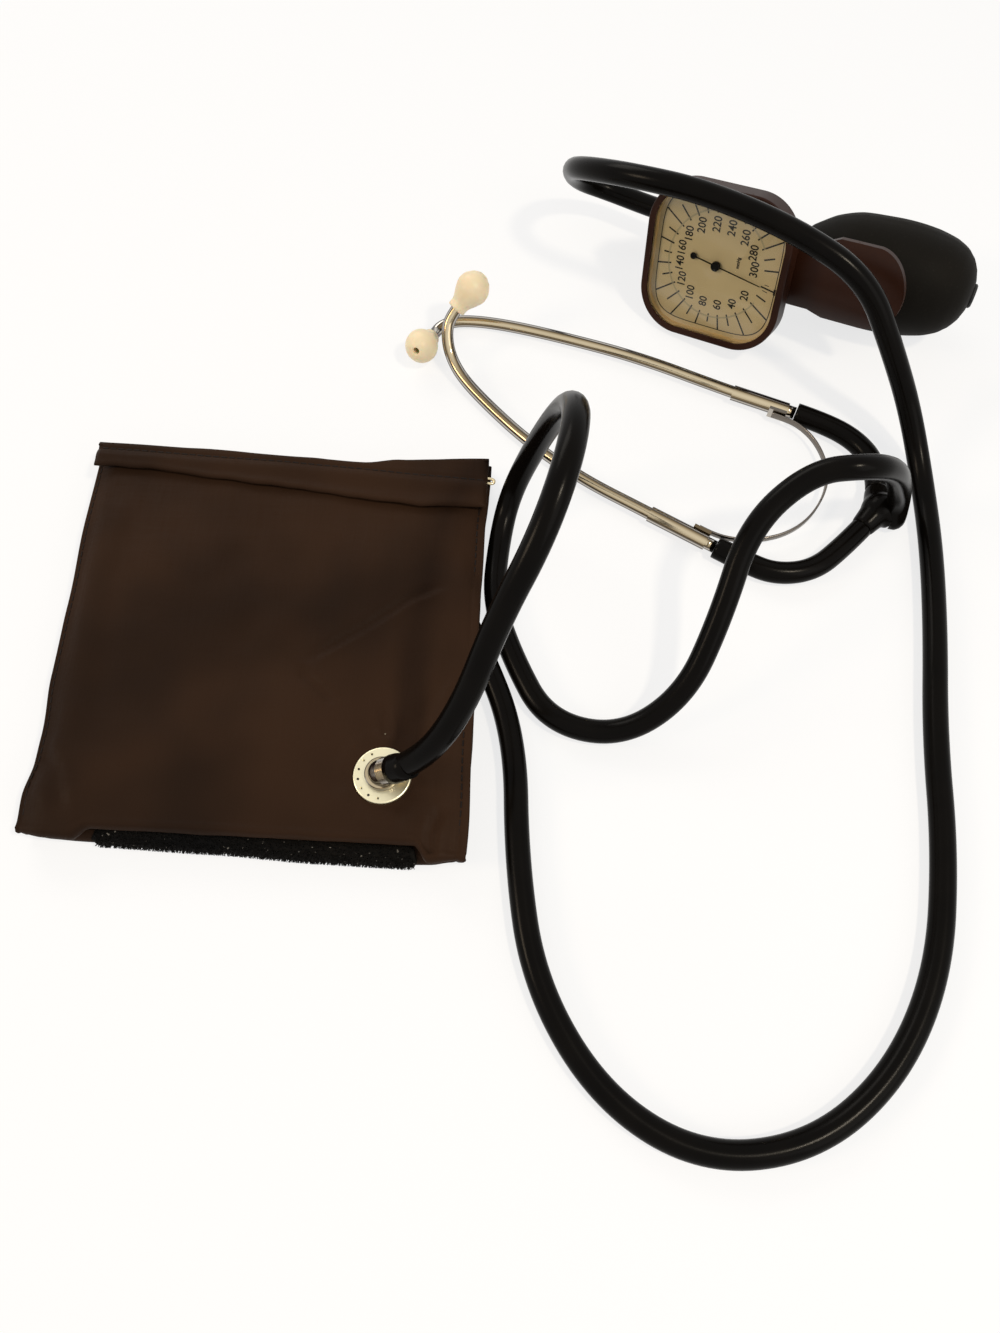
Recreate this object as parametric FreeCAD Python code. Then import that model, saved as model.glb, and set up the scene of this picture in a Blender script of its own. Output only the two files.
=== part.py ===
"""Aneroid blood-pressure set with a built-in stethoscope, at rest on a table.

A folded arm cuff, a hand gauge with its squeeze bulb, and a binaural stethoscope whose hose ends
at the head that is sewn into the cuff. Millimetres, +Z up. The origin is the middle of the
folded cuff's underside, with +X along the folds and +Y towards the cuff's flap.
"""
import FreeCAD
import Part
import math
import os

from FreeCAD import Placement, Rotation, Vector

os.makedirs("parts", exist_ok=True)

X_AXIS = Vector(1, 0, 0)
Y_AXIS = Vector(0, 1, 0)
Z_AXIS = Vector(0, 0, 1)

# ---------------------------------------------------------------- driving sizes: cuff
cuff_width = 149.5            # along X, the width of the sleeve
cuff_middle_x = -1.75
fold_depth = 150.0            # along Y, between the outsides of the lower folds
strip_thickness = 3.0         # padded cloth, two faces and the bag's foam
layer_gap = 0.6
layer_count = 4
top_fold_setback = 4.0        # the upper front fold stands back from the lower one
cloth_face = 0.6              # one face of the cloth

bladder_width = 122.0
bladder_length = 118.0
bladder_thickness = 1.2
bladder_clearance = 0.15
bladder_corner = 12.0

nozzle_bore = 3.0
nozzle_outer = 5.4
nozzle_reach = 12.0
nozzle_foot_radius = 4.0
nozzle_foot_thickness = 1.2
channel_clearance = 0.8       # round the hose, between the layers

hook_strip_length = 108.0
hook_strip_middle_x = 4.0
hook_strip_thickness = 1.2
hook_strip_sweep = 45.0       # degrees of the fold that the tape covers, each way
loop_patch_width = 110.0
loop_patch_length = 96.0
loop_patch_thickness = 0.4

flap_left_depth = 12.0
flap_right_depth = 23.0
flap_thickness = 2.8
flap_hinge_y = 76.0
flap_side_inset = 0.8
flap_rest_gap = 0.3
bar_radius = 1.0
bar_clearance = 0.03
bar_overhang = 4.0
bar_left_inset = 2.4
bar_left_y = 68.8
bar_right_y = 63.9

# ---------------------------------------------------------------- driving sizes: cuff's head
head_x = 45.1
head_y = -51.4
flange_radius = 9.7
flange_thickness = 1.6
flange_pit_radius = 0.45
flange_pit_circle = 8.0
flange_pit_count = 7
flange_pit_first = 120.0      # degrees
flange_pit_sweep = 170.0
bell_radius = 15.0
bell_height = 4.0
bell_wall = 1.0
bell_hollow = 2.0
bell_clearance = 0.25
membrane_thickness = 0.25
membrane_ring_width = 1.6
membrane_ring_height = 0.6
neck_radius = 3.2
neck_clearance = 0.02
nut_radius = 5.6
nut_height = 2.6
nipple_tilt = 45.0            # degrees above the table
nipple_turn = -2.0            # degrees from +X towards +Y
nipple_radius = 2.6
nipple_bore = 1.5
nipple_reach = 11.0
nipple_collar_radius = 4.3
nipple_collar_length = 5.0
nipple_foot_rise = 0.6
hose_first_run = 14.0         # straight stretch of the hose off the nipple

# ---------------------------------------------------------------- driving sizes: hoses
hose_diameter = 8.4
hose_bore = 4.8
hose_rest = 4.4               # height of a lying hose's centre line

y_centre = Vector(223.5, 65.0, 4.9)
y_stem_length = 6.5
y_arm_length = 10.0
y_arm_radius = 4.6

# ---------------------------------------------------------------- driving sizes: stethoscope
ear_tube_diameter = 4.8
ear_tube_wall = 0.6
ear_tip_length = 17.0
ear_tip_radius = 6.7
ear_tip_base_radius = 3.8
ear_tip_bore = 1.3
ear_tip_grip = 6.0            # how far the tube goes into the tip
ear_tip_lead = 3.5            # straight stretch of the tube before the tip
ear_tip_1_end = Vector(43.5, 134.5, 8.8)     # middle of the tip
ear_tip_1_axis = Vector(-0.25, -0.84, 0.48)
ear_tip_2_end = Vector(62.6, 146.8, 26.0)
ear_tip_2_axis = Vector(0.64, 0.48, 0.60)
clip_wall = 0.6
clip_clearance = 0.05
clip_1_start = Vector(192.6, 111.5, 4.4)
clip_1_end = Vector(171.0, 119.6, 4.4)
clip_2_start = Vector(157.6, 48.5, 4.4)
clip_2_end = Vector(136.5, 60.2, 4.4)
clip_tab_length = 7.0
clip_tab_height = 5.0
clip_tab_thickness = 1.4
leaf_height = 4.0
leaf_thickness = 0.8
leaf_rest = 4.6
leaf_gap = 0.3

# ---------------------------------------------------------------- driving sizes: gauge
# The gauge's own frame: +x along the handle, +z out of the dial, origin on the dial's centre.
gauge_place = Vector(160.5, 159.7, 31.65)
gauge_yaw = -29.2
gauge_pitch = -10.8
gauge_roll = 71.7

case_front_half = 28.8        # half the width of the square case, at the bezel
case_front_corner = 16.5
case_back_half = 20.5
case_back_corner = 11.0
case_depth = 24.0
case_wall = 1.8
case_shoulder = 3.0           # depth of the straight rim that the bezel clips over
fit_clearance = 0.1

dial_thickness = 0.8
dial_half = 28.2
dial_corner = 15.9
dial_hole = 1.6
spacer_height = 2.2
spacer_width = 0.9
lens_thickness = 1.4
lens_dome = 0.9
bezel_lip = 0.9               # how far the bezel reaches over the lens
bezel_lip_height = 0.9
bezel_wall = 1.1

cover_thickness = 1.4
gasket_thickness = 0.2
cover_inset = 0.2
screw_circle_half = 13.8      # the corner screws stand on a square of this half width
boss_radius = 4.2
boss_height = 3.6
screw_end_gap = 0.4
boss_roof = 0.8
screw_radius = 0.9
screw_head_radius = 1.9
screw_head_height = 0.9
screw_slot_width = 0.5
shank_clearance = 0.02
stem_radius = 2.5
stem_clearance = 0.1
cover_hub_wall = 2.5
cover_hub_height = 2.5

# movement
plate_radius = 20.0
plate_thickness = 1.0
front_plate_top = -2.4
rear_plate_top = -9.0
pillar_radius = 1.3
pillar_edge = 3.4             # in from the plates' edge
pillar_angles = (-35.0, 100.0, 175.0)
movement_screw_radius = 1.5
movement_screw_height = 0.7
arbor_radius = 0.45
arbor_hole_clearance = 0.05
gear_module = 0.25
pinion_teeth = 10
sector_full_teeth = 120
sector_margin = 3.6           # degrees of rim beyond the travel, at each end
sector_mesh_height = -6.2
gear_thickness = 0.7
tooth_height = 0.34
gear_backlash = 0.03
sector_tail = 3.6
tail_pin_radius = 0.4
mesh_direction = 67.0         # degrees, direction from the sector's arbor to the pinion
hairspring_pitch = 0.75
hairspring_turns = 5
hairspring_wire = 0.18
hairspring_height = 0.5
hairspring_top = -7.6

rocker_axis_x = -5.5
rocker_axis_z = -12.6
rocker_pin_radius = 0.4
rocker_start = 3.0            # from the arm to the shaft's near bracket
rocker_radius = 0.7
rocker_length = 17.5
rocker_arm_reach = 5.2
rocker_arm_width = 1.4
rocker_arm_thickness = 0.8
rocker_arm_swing = 2.2        # how far the arm leans through the rear plate
rocker_foot_radius = 0.3
rocker_foot_gap = 0.05
rocker_lever_half = 0.4       # half its thickness
rocker_lever_width = 1.6
bracket_thickness = 1.2
bracket_width = 3.0
bracket_edge = 1.6            # metal beyond the shaft's line
slot_clearance = 0.9          # round the arm, in the rear plate

capsule_radius = 17.5
capsule_height = 5.0
capsule_ripple = 0.45
capsule_wall = 0.5
capsule_bottom = -19.9
capsule_rings = 6
capsule_rim_height = 1.0
capsule_rim_width = 1.5
pad_radius = 1.8
pad_seat_radius = 4.0         # the flat middle of the capsule
pad_height = 1.0
pad_gap = 0.02

pointer_length = 19.6
pointer_tail = 10.5
pointer_ball = 1.6
pointer_width = 2.0
pointer_thickness = 0.4
pointer_height = 0.8
pointer_hub_radius = 1.9
pointer_hub_height = 1.0
zero_angle = 10.0             # degrees clockwise from the handle's direction
scale_step = 11.4             # degrees for each 10 mm of mercury
scale_steps = 30

# spoon handle
spoon_end = 71.5
spoon_half_width = 15.5
spoon_thickness = 2.4
spoon_root_inset = 2.0        # inside the case's rear corner, before it is trimmed
spoon_shoulder_start = 36.0   # where the plate starts to widen
spoon_shoulder_end = 42.0
spoon_crown = -9.0
spoon_edge = -14.0
neck_half_width = 13.0
neck_end = 40.0
neck_bottom = -15.6
neck_slope = 9.0              # length of the slope under the neck's end
spoon_tip_radius = 14.0

# air block behind the case
block_front = -12.0
block_back = 6.0
block_side_low = -9.5
block_side_high = 10.0
block_bottom = -44.0
block_corner = 2.0
barb_y = 2.0
barb_z = -32.0
barb_reach = 14.0
barb_radius = 2.4
barb_ridge = 0.5
barb_bore = 1.4
barb_ridges = 3
air_bore = 1.5

bulb_y = -3.9
bulb_z = -38.2
bulb_start = 14.0
bulb_end = 90.0
bulb_radius = 21.4
bulb_droop = 9.8               # degrees the soft bulb hangs down from its nipple
bulb_swing = -3.0              # degrees it turns towards the upper side
bulb_wall = 2.4
bulb_mouth_radius = 6.4
bulb_mouth_bore = 4.2
nipple_tube_end = 24.0
bulb_nipple_bore = 1.0
bulb_nipple_rim = 1.4         # the flange against the block, how far it stands out
bulb_nipple_rim_length = 2.0
check_seat_x = 14.0
check_chamber = 2.1
check_ball_radius = 1.8
check_travel = 0.6
end_disc_radius = 6.5
end_disc_thickness = 2.4
end_plug_radius = 4.0
end_plug_length = 8.0
inlet_hole = 1.1

valve_y = -1.6
valve_z = -40.0
valve_body_radius = 3.0
valve_body_reach = 5.0
valve_stem_radius = 1.5
valve_stem_clearance = 0.06
valve_cone_length = 1.6
valve_cone_depth = 4.0
valve_orifice = 0.8           # radius of the hole that the cone shuts
valve_collar = 0.9            # how far the collar stands out
valve_collar_length = 1.4
knob_wall = 1.2               # closed end of the knob
knob_fit = 0.03
knob_radius = 4.0
knob_length = 7.0
knob_gap = 1.4
knob_flutes = 14
knob_flute_radius = 0.45
knob_chamfer = 0.5
knob_band = 1.0               # plain band at each end of the flutes

# ---------------------------------------------------------------- worked out from them
membrane_radius = bell_radius - 0.1
layer_pitch = strip_thickness + layer_gap
cuff_top = strip_thickness + (layer_count - 1) * layer_pitch
cuff_left = cuff_middle_x - cuff_width / 2
cuff_right = cuff_middle_x + cuff_width / 2
cuff_front = -fold_depth / 2
cuff_back = fold_depth / 2
fold_outer = layer_pitch / 2 + strip_thickness / 2
hose_radius = hose_diameter / 2
tube_radius = ear_tube_diameter / 2
pinion_pitch_radius = gear_module * pinion_teeth / 2
sector_pitch_radius = gear_module * sector_full_teeth / 2
gear_distance = pinion_pitch_radius + sector_pitch_radius
sector_travel = scale_step * scale_steps * pinion_teeth / sector_full_teeth
sector_first_angle = mesh_direction - sector_travel - sector_margin
sector_last_angle = mesh_direction + sector_margin
rear_rim = -case_depth
cover_front = rear_rim - gasket_thickness
cover_back = cover_front - cover_thickness


# ---------------------------------------------------------------- shape helpers
def box(x0, x1, y0, y1, z0, z1):
    return Part.makeBox(x1 - x0, y1 - y0, z1 - z0, Vector(x0, y0, z0))


def rod(start, end, radius):
    run = end - start
    return Part.makeCylinder(radius, run.Length, start, run)


def pipe(start, end, outer, inner):
    return rod(start, end, outer).cut(rod(start, end, inner))


def disc(radius, z0, z1, x=0.0, y=0.0):
    return Part.makeCylinder(radius, z1 - z0, Vector(x, y, z0), Z_AXIS)


def fused(shapes):
    first = shapes[0]
    return first.multiFuse(shapes[1:]).removeSplitter() if len(shapes) > 1 else first


def rounded_wire(half, corner, z):
    """A square with round corners, as a closed wire at height z."""
    flat = half - corner
    bow = corner * (1 - math.sqrt(0.5))
    edges = []
    for turn in range(4):
        spin = Rotation(Z_AXIS, 90 * turn)
        side_start = spin.multVec(Vector(half, -flat, z))
        side_end = spin.multVec(Vector(half, flat, z))
        middle = spin.multVec(Vector(half - bow, half - bow, z))
        next_start = spin.multVec(Vector(flat, half, z))
        edges.append(Part.LineSegment(side_start, side_end).toShape())
        edges.append(Part.Arc(side_end, middle, next_start).toShape())
    return Part.Wire(edges)


def rounded_plate(half, corner, z0, z1):
    face = Part.Face(rounded_wire(half, corner, z0))
    return face.extrude(Vector(0, 0, z1 - z0))


def rounded_taper(half_0, corner_0, z0, half_1, corner_1, z1):
    wires = [rounded_wire(half_0, corner_0, z0), rounded_wire(half_1, corner_1, z1)]
    return Part.makeLoft(wires, True, True)


def turned(outline, origin, axis):
    """Turn an outline of (distance along the axis, radius) points about the axis."""
    points = [Vector(radius, 0, along) for along, radius in outline]
    face = Part.Face(Part.makePolygon(points + points[:1]))
    solid = face.revolve(Vector(0, 0, 0), Z_AXIS, 360)
    solid.Placement = Placement(origin, Rotation(Z_AXIS, axis))
    return Part.Solid(solid) if solid.ShapeType == "Shell" else solid


def turned_smooth(along_radius, origin, axis):
    """Turn a smooth closed body whose outline runs through the given points."""
    points = [Vector(radius, 0, along) for along, radius in along_radius]
    curve = Part.BSplineCurve()
    curve.interpolate(points)
    first = Vector(0, 0, points[0].z)
    last = Vector(0, 0, points[-1].z)
    edges = [curve.toShape()]
    if points[-1].x > 1e-6:
        edges.append(Part.LineSegment(points[-1], last).toShape())
    edges.append(Part.LineSegment(last, first).toShape())
    if points[0].x > 1e-6:
        edges.append(Part.LineSegment(first, points[0]).toShape())
    face = Part.Face(Part.Wire(edges))
    solid = face.revolve(Vector(0, 0, 0), Z_AXIS, 360)
    solid.Placement = Placement(origin, Rotation(Z_AXIS, axis))
    return solid


def rounded_route(points):
    """Straight runs joined by tangent arcs, each as large as its two runs allow."""
    edges = []
    radii = []
    here = points[0]
    for before, corner, after in zip(points, points[1:], points[2:]):
        back = (before - corner).normalize()
        ahead = (after - corner).normalize()
        half_turn = (math.pi - back.getAngle(ahead)) / 2
        shorter = min((before - corner).Length, (after - corner).Length)
        setback = 0.45 * shorter
        radius = setback / math.tan(half_turn)
        arc_start = corner + back * setback
        arc_end = corner + ahead * setback
        bisector = (back + ahead).normalize()
        centre = corner + bisector * (radius / math.cos(half_turn))
        middle = centre - bisector * radius
        edges.append(Part.LineSegment(here, arc_start).toShape())
        edges.append(Part.Arc(arc_start, middle, arc_end).toShape())
        radii.append(radius)
        here = arc_end
    edges.append(Part.LineSegment(here, points[-1]).toShape())
    return Part.Wire(edges), radii


def tube_along(points, radius):
    wire, radii = rounded_route(points)
    start = Part.Wire(Part.Circle(points[0], points[1] - points[0], radius).toShape())
    return wire.makePipeShell([start], True, False), wire.Length, radii


def hose(name, points):
    """A hose's solid, with its length, tightest bend and volume printed."""
    solid, length, radii = tube_along(points, hose_radius)
    expected = math.pi * hose_radius ** 2 * length
    print(f"{name}: length {length:.0f}, tightest bend {min(radii):.1f}, radii "
          f"{[round(r) for r in radii]}, volume over section x length {solid.Volume / expected:.4f}")
    return solid


# ---------------------------------------------------------------- routes, chosen point by point
pressure_route = [Vector(*p) for p in (
    (60, 27.5, 7), (75.5, -1.5, 6.4), (88.5, -33, hose_rest), (91.5, -76, hose_rest),
    (98.5, -113.5, hose_rest), (118.5, -145, hose_rest), (148, -160.5, hose_rest),
    (181, -156, hose_rest), (207.5, -135.5, hose_rest), (225, -104.5, hose_rest),
    (232, -65.5, hose_rest), (234, -25.5, hose_rest), (239.5, 15.5, hose_rest),
    (242.5, 50, hose_rest), (242.5, 80, 5), (235, 103, 19), (221, 112.5, 41),
    (206.5, 127.5, 60.5), (181, 141, 68), (149, 155, 69.5), (122, 166, 66.5),
    (105.5, 183, 55), (101, 202, 39), (105, 215, 23), (119, 217.5, 16), (135.5, 209.2, 16.2))]
stethoscope_route = [Vector(*p) for p in (
    (71.7, -41.5, 50.5), (82.2, -21, 74.5), (93, -5.5, 93), (100, 15.5, 102),
    (102.5, 38.8, 95), (99, 56, 72), (91, 65, 38), (82.5, 61.5, 12), (79, 44, hose_rest),
    (78, 20, hose_rest), (86.5, -3, hose_rest), (99, -26, hose_rest), (124.5, -31, hose_rest),
    (145.5, -19, 16), (155.5, 4, 31), (162.5, 29.5, 47.5), (180.5, 44.5, 59),
    (200, 44.5, 63.5), (212.5, 47, 51), (223, 60, 35), (229.5, 66.5, 19.5))]
branch_1_route = [Vector(*p) for p in (
    (225.5, 86.5, 4.6), (219, 98, hose_rest), (207.5, 105.8, hose_rest),
    (195.8, 110.3, hose_rest))]
branch_2_route = [Vector(*p) for p in (
    (209.5, 49.5, 4.5), (197.5, 38.5, hose_rest), (183, 36, hose_rest),
    (171, 41, hose_rest), (161.1, 46.6, hose_rest))]
ear_tube_1_route = [Vector(*p) for p in (
    (195.5, 110.4, 4.4), (170, 120.0, 4.4), (133.5, 136, 4), (100, 146, 3.6),
    (74.4, 152.2, 3.2), (57.5, 153.6, 3), (49.6, 150.2, 3.2))]
ear_tube_2_route = [Vector(*p) for p in (
    (160.8, 46.7, 4.4), (134, 61.6, 4.4), (110, 75.2, 4), (88, 92.5, 3.5), (71, 109.8, 3.5),
    (60, 122, 4.8), (54.8, 130.2, 8.6), (53.4, 136.2, 14.4))]
leaf_route = [Vector(x, y, leaf_rest) for x, y in (
    (191.8, 107.0), (197.2, 103.7), (202.4, 97.2), (205.6, 88), (205.9, 78.5), (202.8, 69.2),
    (196.7, 60), (188.4, 53.6), (178.4, 50.4), (169, 49.9), (160.8, 51.7))]


# ---------------------------------------------------------------- cuff
def layer_middle(index):
    return strip_thickness / 2 + index * layer_pitch


def half_fold(y_centre, lower_layer, faces_front):
    """Half a ring of cloth that joins one layer to the next."""
    z_centre = (layer_middle(lower_layer) + layer_middle(lower_layer + 1)) / 2
    start = Vector(cuff_left, y_centre, z_centre)
    end = Vector(cuff_right, y_centre, z_centre)
    ring = pipe(start, end, fold_outer, layer_gap / 2)
    y0 = y_centre - fold_outer if faces_front else y_centre
    y1 = y_centre if faces_front else y_centre + fold_outer
    keep = box(cuff_left, cuff_right, y0, y1, z_centre - fold_outer, z_centre + fold_outer)
    return ring.common(keep)


def cuff_channel():
    """Room for the hose where it runs between the layers to the bladder's nozzle."""
    out = (pressure_route[1] - pressure_route[0]).normalize()
    start = pressure_route[0] - out * (nozzle_foot_thickness + 1.0)
    beyond = pressure_route[1] + out * 14
    return rod(start, beyond, hose_radius + channel_clearance)


def head_pocket(grow):
    top = cuff_top - cloth_face
    return disc(bell_radius + grow, top - bell_height - membrane_ring_height - 2 * grow, top,
                head_x, head_y)


def bladder_blank(grow):
    middle = layer_middle(2)
    half = bladder_thickness / 2 + grow
    blank = box(cuff_middle_x - bladder_width / 2 - grow, cuff_middle_x + bladder_width / 2 + grow,
                -bladder_length / 2 - grow, bladder_length / 2 + grow, middle - half, middle + half)
    corners = [edge for edge in blank.Edges if abs(edge.tangentAt(0).z) > 0.9]
    return blank.makeFillet(bladder_corner + grow, corners)


def make_cuff_sleeve():
    front_low = cuff_front + fold_outer
    back = cuff_back - fold_outer
    front_high = front_low + top_fold_setback
    spans = ((front_low, cuff_back), (front_low, back), (front_high, back), (front_high, cuff_back))
    layers = []
    for index, (y0, y1) in enumerate(spans):
        z = layer_middle(index)
        layers.append(box(cuff_left, cuff_right, y0, y1, z - strip_thickness / 2,
                          z + strip_thickness / 2))
    folds = [half_fold(front_low, 0, True), half_fold(back, 1, False), half_fold(front_high, 2, True)]
    sleeve = fused(layers + folds)
    sleeve = sleeve.cut(bladder_blank(bladder_clearance))
    sleeve = sleeve.cut(head_pocket(bell_clearance))
    sleeve = sleeve.cut(disc(neck_radius + bell_clearance, cuff_top - 2 * cloth_face, cuff_top + 1,
                             head_x, head_y))
    return sleeve.cut(cuff_channel())


def make_bladder():
    bladder = bladder_blank(0.0)
    bladder = bladder.cut(head_pocket(2 * bell_clearance))
    return bladder.cut(cuff_channel())


def make_bladder_nozzle():
    out = (pressure_route[1] - pressure_route[0]).normalize()
    foot = pressure_route[0] - out * nozzle_foot_thickness
    plate = rod(foot, pressure_route[0], nozzle_foot_radius)
    spigot = rod(pressure_route[0] - out * 0.1, pressure_route[0] + out * nozzle_reach,
                 nozzle_outer / 2)
    bore = rod(foot - out, pressure_route[0] + out * (nozzle_reach + 1), nozzle_bore / 2)
    return plate.fuse(spigot).cut(bore).removeSplitter()


def make_hook_strip():
    """Tape bent round the lower front fold."""
    y_centre = cuff_front + fold_outer
    z_centre = (layer_middle(0) + layer_middle(1)) / 2
    x0 = hook_strip_middle_x - hook_strip_length / 2
    x1 = hook_strip_middle_x + hook_strip_length / 2
    outer = fold_outer + hook_strip_thickness
    ring = pipe(Vector(x0, y_centre, z_centre), Vector(x1, y_centre, z_centre), outer, fold_outer)
    reach = outer + 1
    rise = reach * math.tan(math.radians(hook_strip_sweep))
    corners = [Vector(x0 - 1, y_centre, z_centre), Vector(x0 - 1, y_centre - reach, z_centre - rise),
               Vector(x0 - 1, y_centre - reach, z_centre + rise)]
    wedge = Part.Face(Part.makePolygon(corners + corners[:1])).extrude(Vector(x1 - x0 + 2, 0, 0))
    return ring.common(wedge)


def make_loop_strip():
    z = layer_middle(0) + layer_pitch / 2
    return box(cuff_middle_x - loop_patch_width / 2, cuff_middle_x + loop_patch_width / 2,
               -loop_patch_length / 2, loop_patch_length / 2,
               z - loop_patch_thickness / 2, z + loop_patch_thickness / 2)


def bar_line():
    z = cuff_top + flap_rest_gap + flap_thickness / 2
    start = Vector(cuff_left + bar_left_inset, bar_left_y, z)
    end = Vector(cuff_right + bar_overhang, bar_right_y, z)
    return start, end


def make_bar_flap():
    z0 = cuff_top + flap_rest_gap
    x0 = cuff_left + flap_side_inset
    x1 = cuff_right - flap_side_inset
    corners = [Vector(x0, flap_hinge_y, z0), Vector(x0, flap_hinge_y - flap_left_depth, z0),
               Vector(x1, flap_hinge_y - flap_right_depth, z0), Vector(x1, flap_hinge_y, z0)]
    flap = Part.Face(Part.makePolygon(corners + corners[:1])).extrude(Vector(0, 0, flap_thickness))
    start, end = bar_line()
    return flap.cut(rod(start, end, bar_radius + bar_clearance))


def make_metal_bar():
    start, end = bar_line()
    bar = rod(start, end, bar_radius)
    ends = [edge for edge in bar.Edges if edge.Closed]
    return bar.makeChamfer(bar_radius * 0.3, ends)


def make_chestpiece_flange():
    flange = disc(flange_radius, cuff_top, cuff_top + flange_thickness, head_x, head_y)
    rim = [edge for edge in flange.Edges if edge.Closed and edge.BoundBox.ZMin > cuff_top + 0.1]
    flange = flange.makeFillet(flange_thickness * 0.35, rim)
    flange = flange.cut(disc(neck_radius, cuff_top - 1, cuff_top + flange_thickness + 1,
                             head_x, head_y))
    for index in range(flange_pit_count):
        angle = math.radians(flange_pit_first + index * flange_pit_sweep / flange_pit_count)
        pit_x = head_x + flange_pit_circle * math.cos(angle)
        pit_y = head_y + flange_pit_circle * math.sin(angle)
        top = cuff_top + flange_thickness
        flange = flange.cut(disc(flange_pit_radius, top - flange_pit_radius, top + 1, pit_x, pit_y))
    return flange


def make_chestpiece_bell():
    top = cuff_top - cloth_face
    bottom = top - bell_height
    bell = disc(bell_radius, bottom, top, head_x, head_y)
    hollow = disc(bell_radius - bell_wall, bottom - 1, bottom + bell_hollow, head_x, head_y)
    bell = bell.cut(hollow)
    neck_top = cuff_top + flange_thickness + nut_height
    bell = bell.fuse(disc(neck_radius - neck_clearance, top - cloth_face / 2, neck_top, head_x, head_y))
    return bell.cut(disc(nipple_bore, bottom - 1, neck_top + 1, head_x, head_y)).removeSplitter()


def make_diaphragm():
    bottom = cuff_top - cloth_face - bell_height
    return disc(membrane_radius, bottom - membrane_thickness, bottom, head_x, head_y)


def make_diaphragm_ring():
    top = cuff_top - cloth_face - bell_height - membrane_thickness
    outer = disc(membrane_radius, top - membrane_ring_height, top, head_x, head_y)
    return outer.cut(disc(membrane_radius - membrane_ring_width, top - 2, top + 1, head_x, head_y))


def make_clamp_nut():
    z0 = cuff_top + flange_thickness
    nut = disc(nut_radius, z0, z0 + nut_height, head_x, head_y)
    rims = [edge for edge in nut.Edges if edge.Closed]
    nut = nut.makeChamfer(nut_height * 0.12, rims)
    return nut.cut(disc(neck_radius, z0 - 1, z0 + nut_height + 1, head_x, head_y))


def nipple_foot():
    return Vector(head_x, head_y, cuff_top + flange_thickness + nut_height)


def nipple_axis():
    tilt = math.radians(nipple_tilt)
    turn = math.radians(nipple_turn)
    return Vector(math.cos(tilt) * math.cos(turn), math.cos(tilt) * math.sin(turn), math.sin(tilt))


def nipple_knuckle():
    return nipple_foot() + Z_AXIS * nipple_foot_rise


def nipple_collar_end():
    return nipple_knuckle() + nipple_axis() * nipple_collar_length


def make_hose_nipple():
    """Tilted spigot on a round foot that screws on the bell's neck."""
    foot = nipple_foot()
    middle = nipple_knuckle()
    tip = nipple_collar_end() + nipple_axis() * nipple_reach
    room = 2 * nipple_collar_radius
    above = box(foot.x - room, foot.x + 2 * room, foot.y - room, foot.y + room,
                foot.z, foot.z + 2 * room + nipple_reach)
    collar = rod(middle, nipple_collar_end(), nipple_collar_radius)
    body = Part.makeSphere(nipple_collar_radius, middle).fuse(collar)
    body = body.fuse(rod(middle, tip, nipple_radius)).common(above)
    body = body.cut(rod(middle, tip + nipple_axis(), nipple_bore))
    body = body.cut(disc(nipple_bore, foot.z - 1, middle.z, foot.x, foot.y))
    return body.removeSplitter()


# ---------------------------------------------------------------- hoses and stethoscope
def make_stethoscope_hose():
    start = nipple_collar_end()
    lead = start + nipple_axis() * hose_first_run
    points = [start, lead] + stethoscope_route + [y_arm_end(stethoscope_route[-1], y_stem_length)]
    tube = hose("stethoscope_hose", points)
    spigot = rod(start, start + nipple_axis() * (nipple_reach + 0.2), nipple_radius)
    return tube.cut(spigot)


def barb_line():
    start = gauge_point(block_front, barb_y, barb_z)
    end = gauge_point(block_front - barb_reach, barb_y, barb_z)
    return start, end


def make_pressure_hose():
    start, end = barb_line()
    run_in = gauge_point(block_front - barb_reach - 4, barb_y, barb_z)
    tube = hose("pressure_hose", pressure_route + [run_in, start])
    out = (pressure_route[1] - pressure_route[0]).normalize()
    tube = tube.cut(rod(pressure_route[0], pressure_route[0] + out * (nozzle_reach + 0.2),
                        nozzle_outer / 2))
    beyond = end + (end - start).normalize() * 0.2
    return tube.cut(rod(start, beyond, barb_radius + barb_ridge))


def y_arm_end(hose_point, length):
    """End of the arm that points at the hose's nearest route point."""
    return y_centre + (hose_point - y_centre).normalize() * length


def make_y_connector():
    ends = [y_arm_end(stethoscope_route[-1], y_stem_length),
            y_arm_end(branch_1_route[0], y_arm_length), y_arm_end(branch_2_route[0], y_arm_length)]
    body = Part.makeSphere(y_arm_radius, y_centre)
    for end in ends:
        body = body.fuse(rod(y_centre, end, y_arm_radius))
    for end in ends:
        out = (end - y_centre).normalize()
        body = body.cut(rod(y_centre, end + out, hose_bore / 2))
    return body.removeSplitter()


def make_branch_hose(name, route):
    return hose(name, [y_arm_end(route[0], y_arm_length)] + route)


def ear_tube(route, tip_middle, tip_axis):
    axis = Vector(tip_axis).normalize()
    base = tip_middle - axis * (ear_tip_length / 2)
    points = route + [base - axis * ear_tip_lead, base + axis * ear_tip_grip]
    outer, length, radii = tube_along(points, tube_radius)
    inner, _, _ = tube_along(points, tube_radius - ear_tube_wall)
    print(f"ear tube: length {length:.0f}, tightest bend {min(radii):.1f}")
    return outer, outer.cut(inner)


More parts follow.
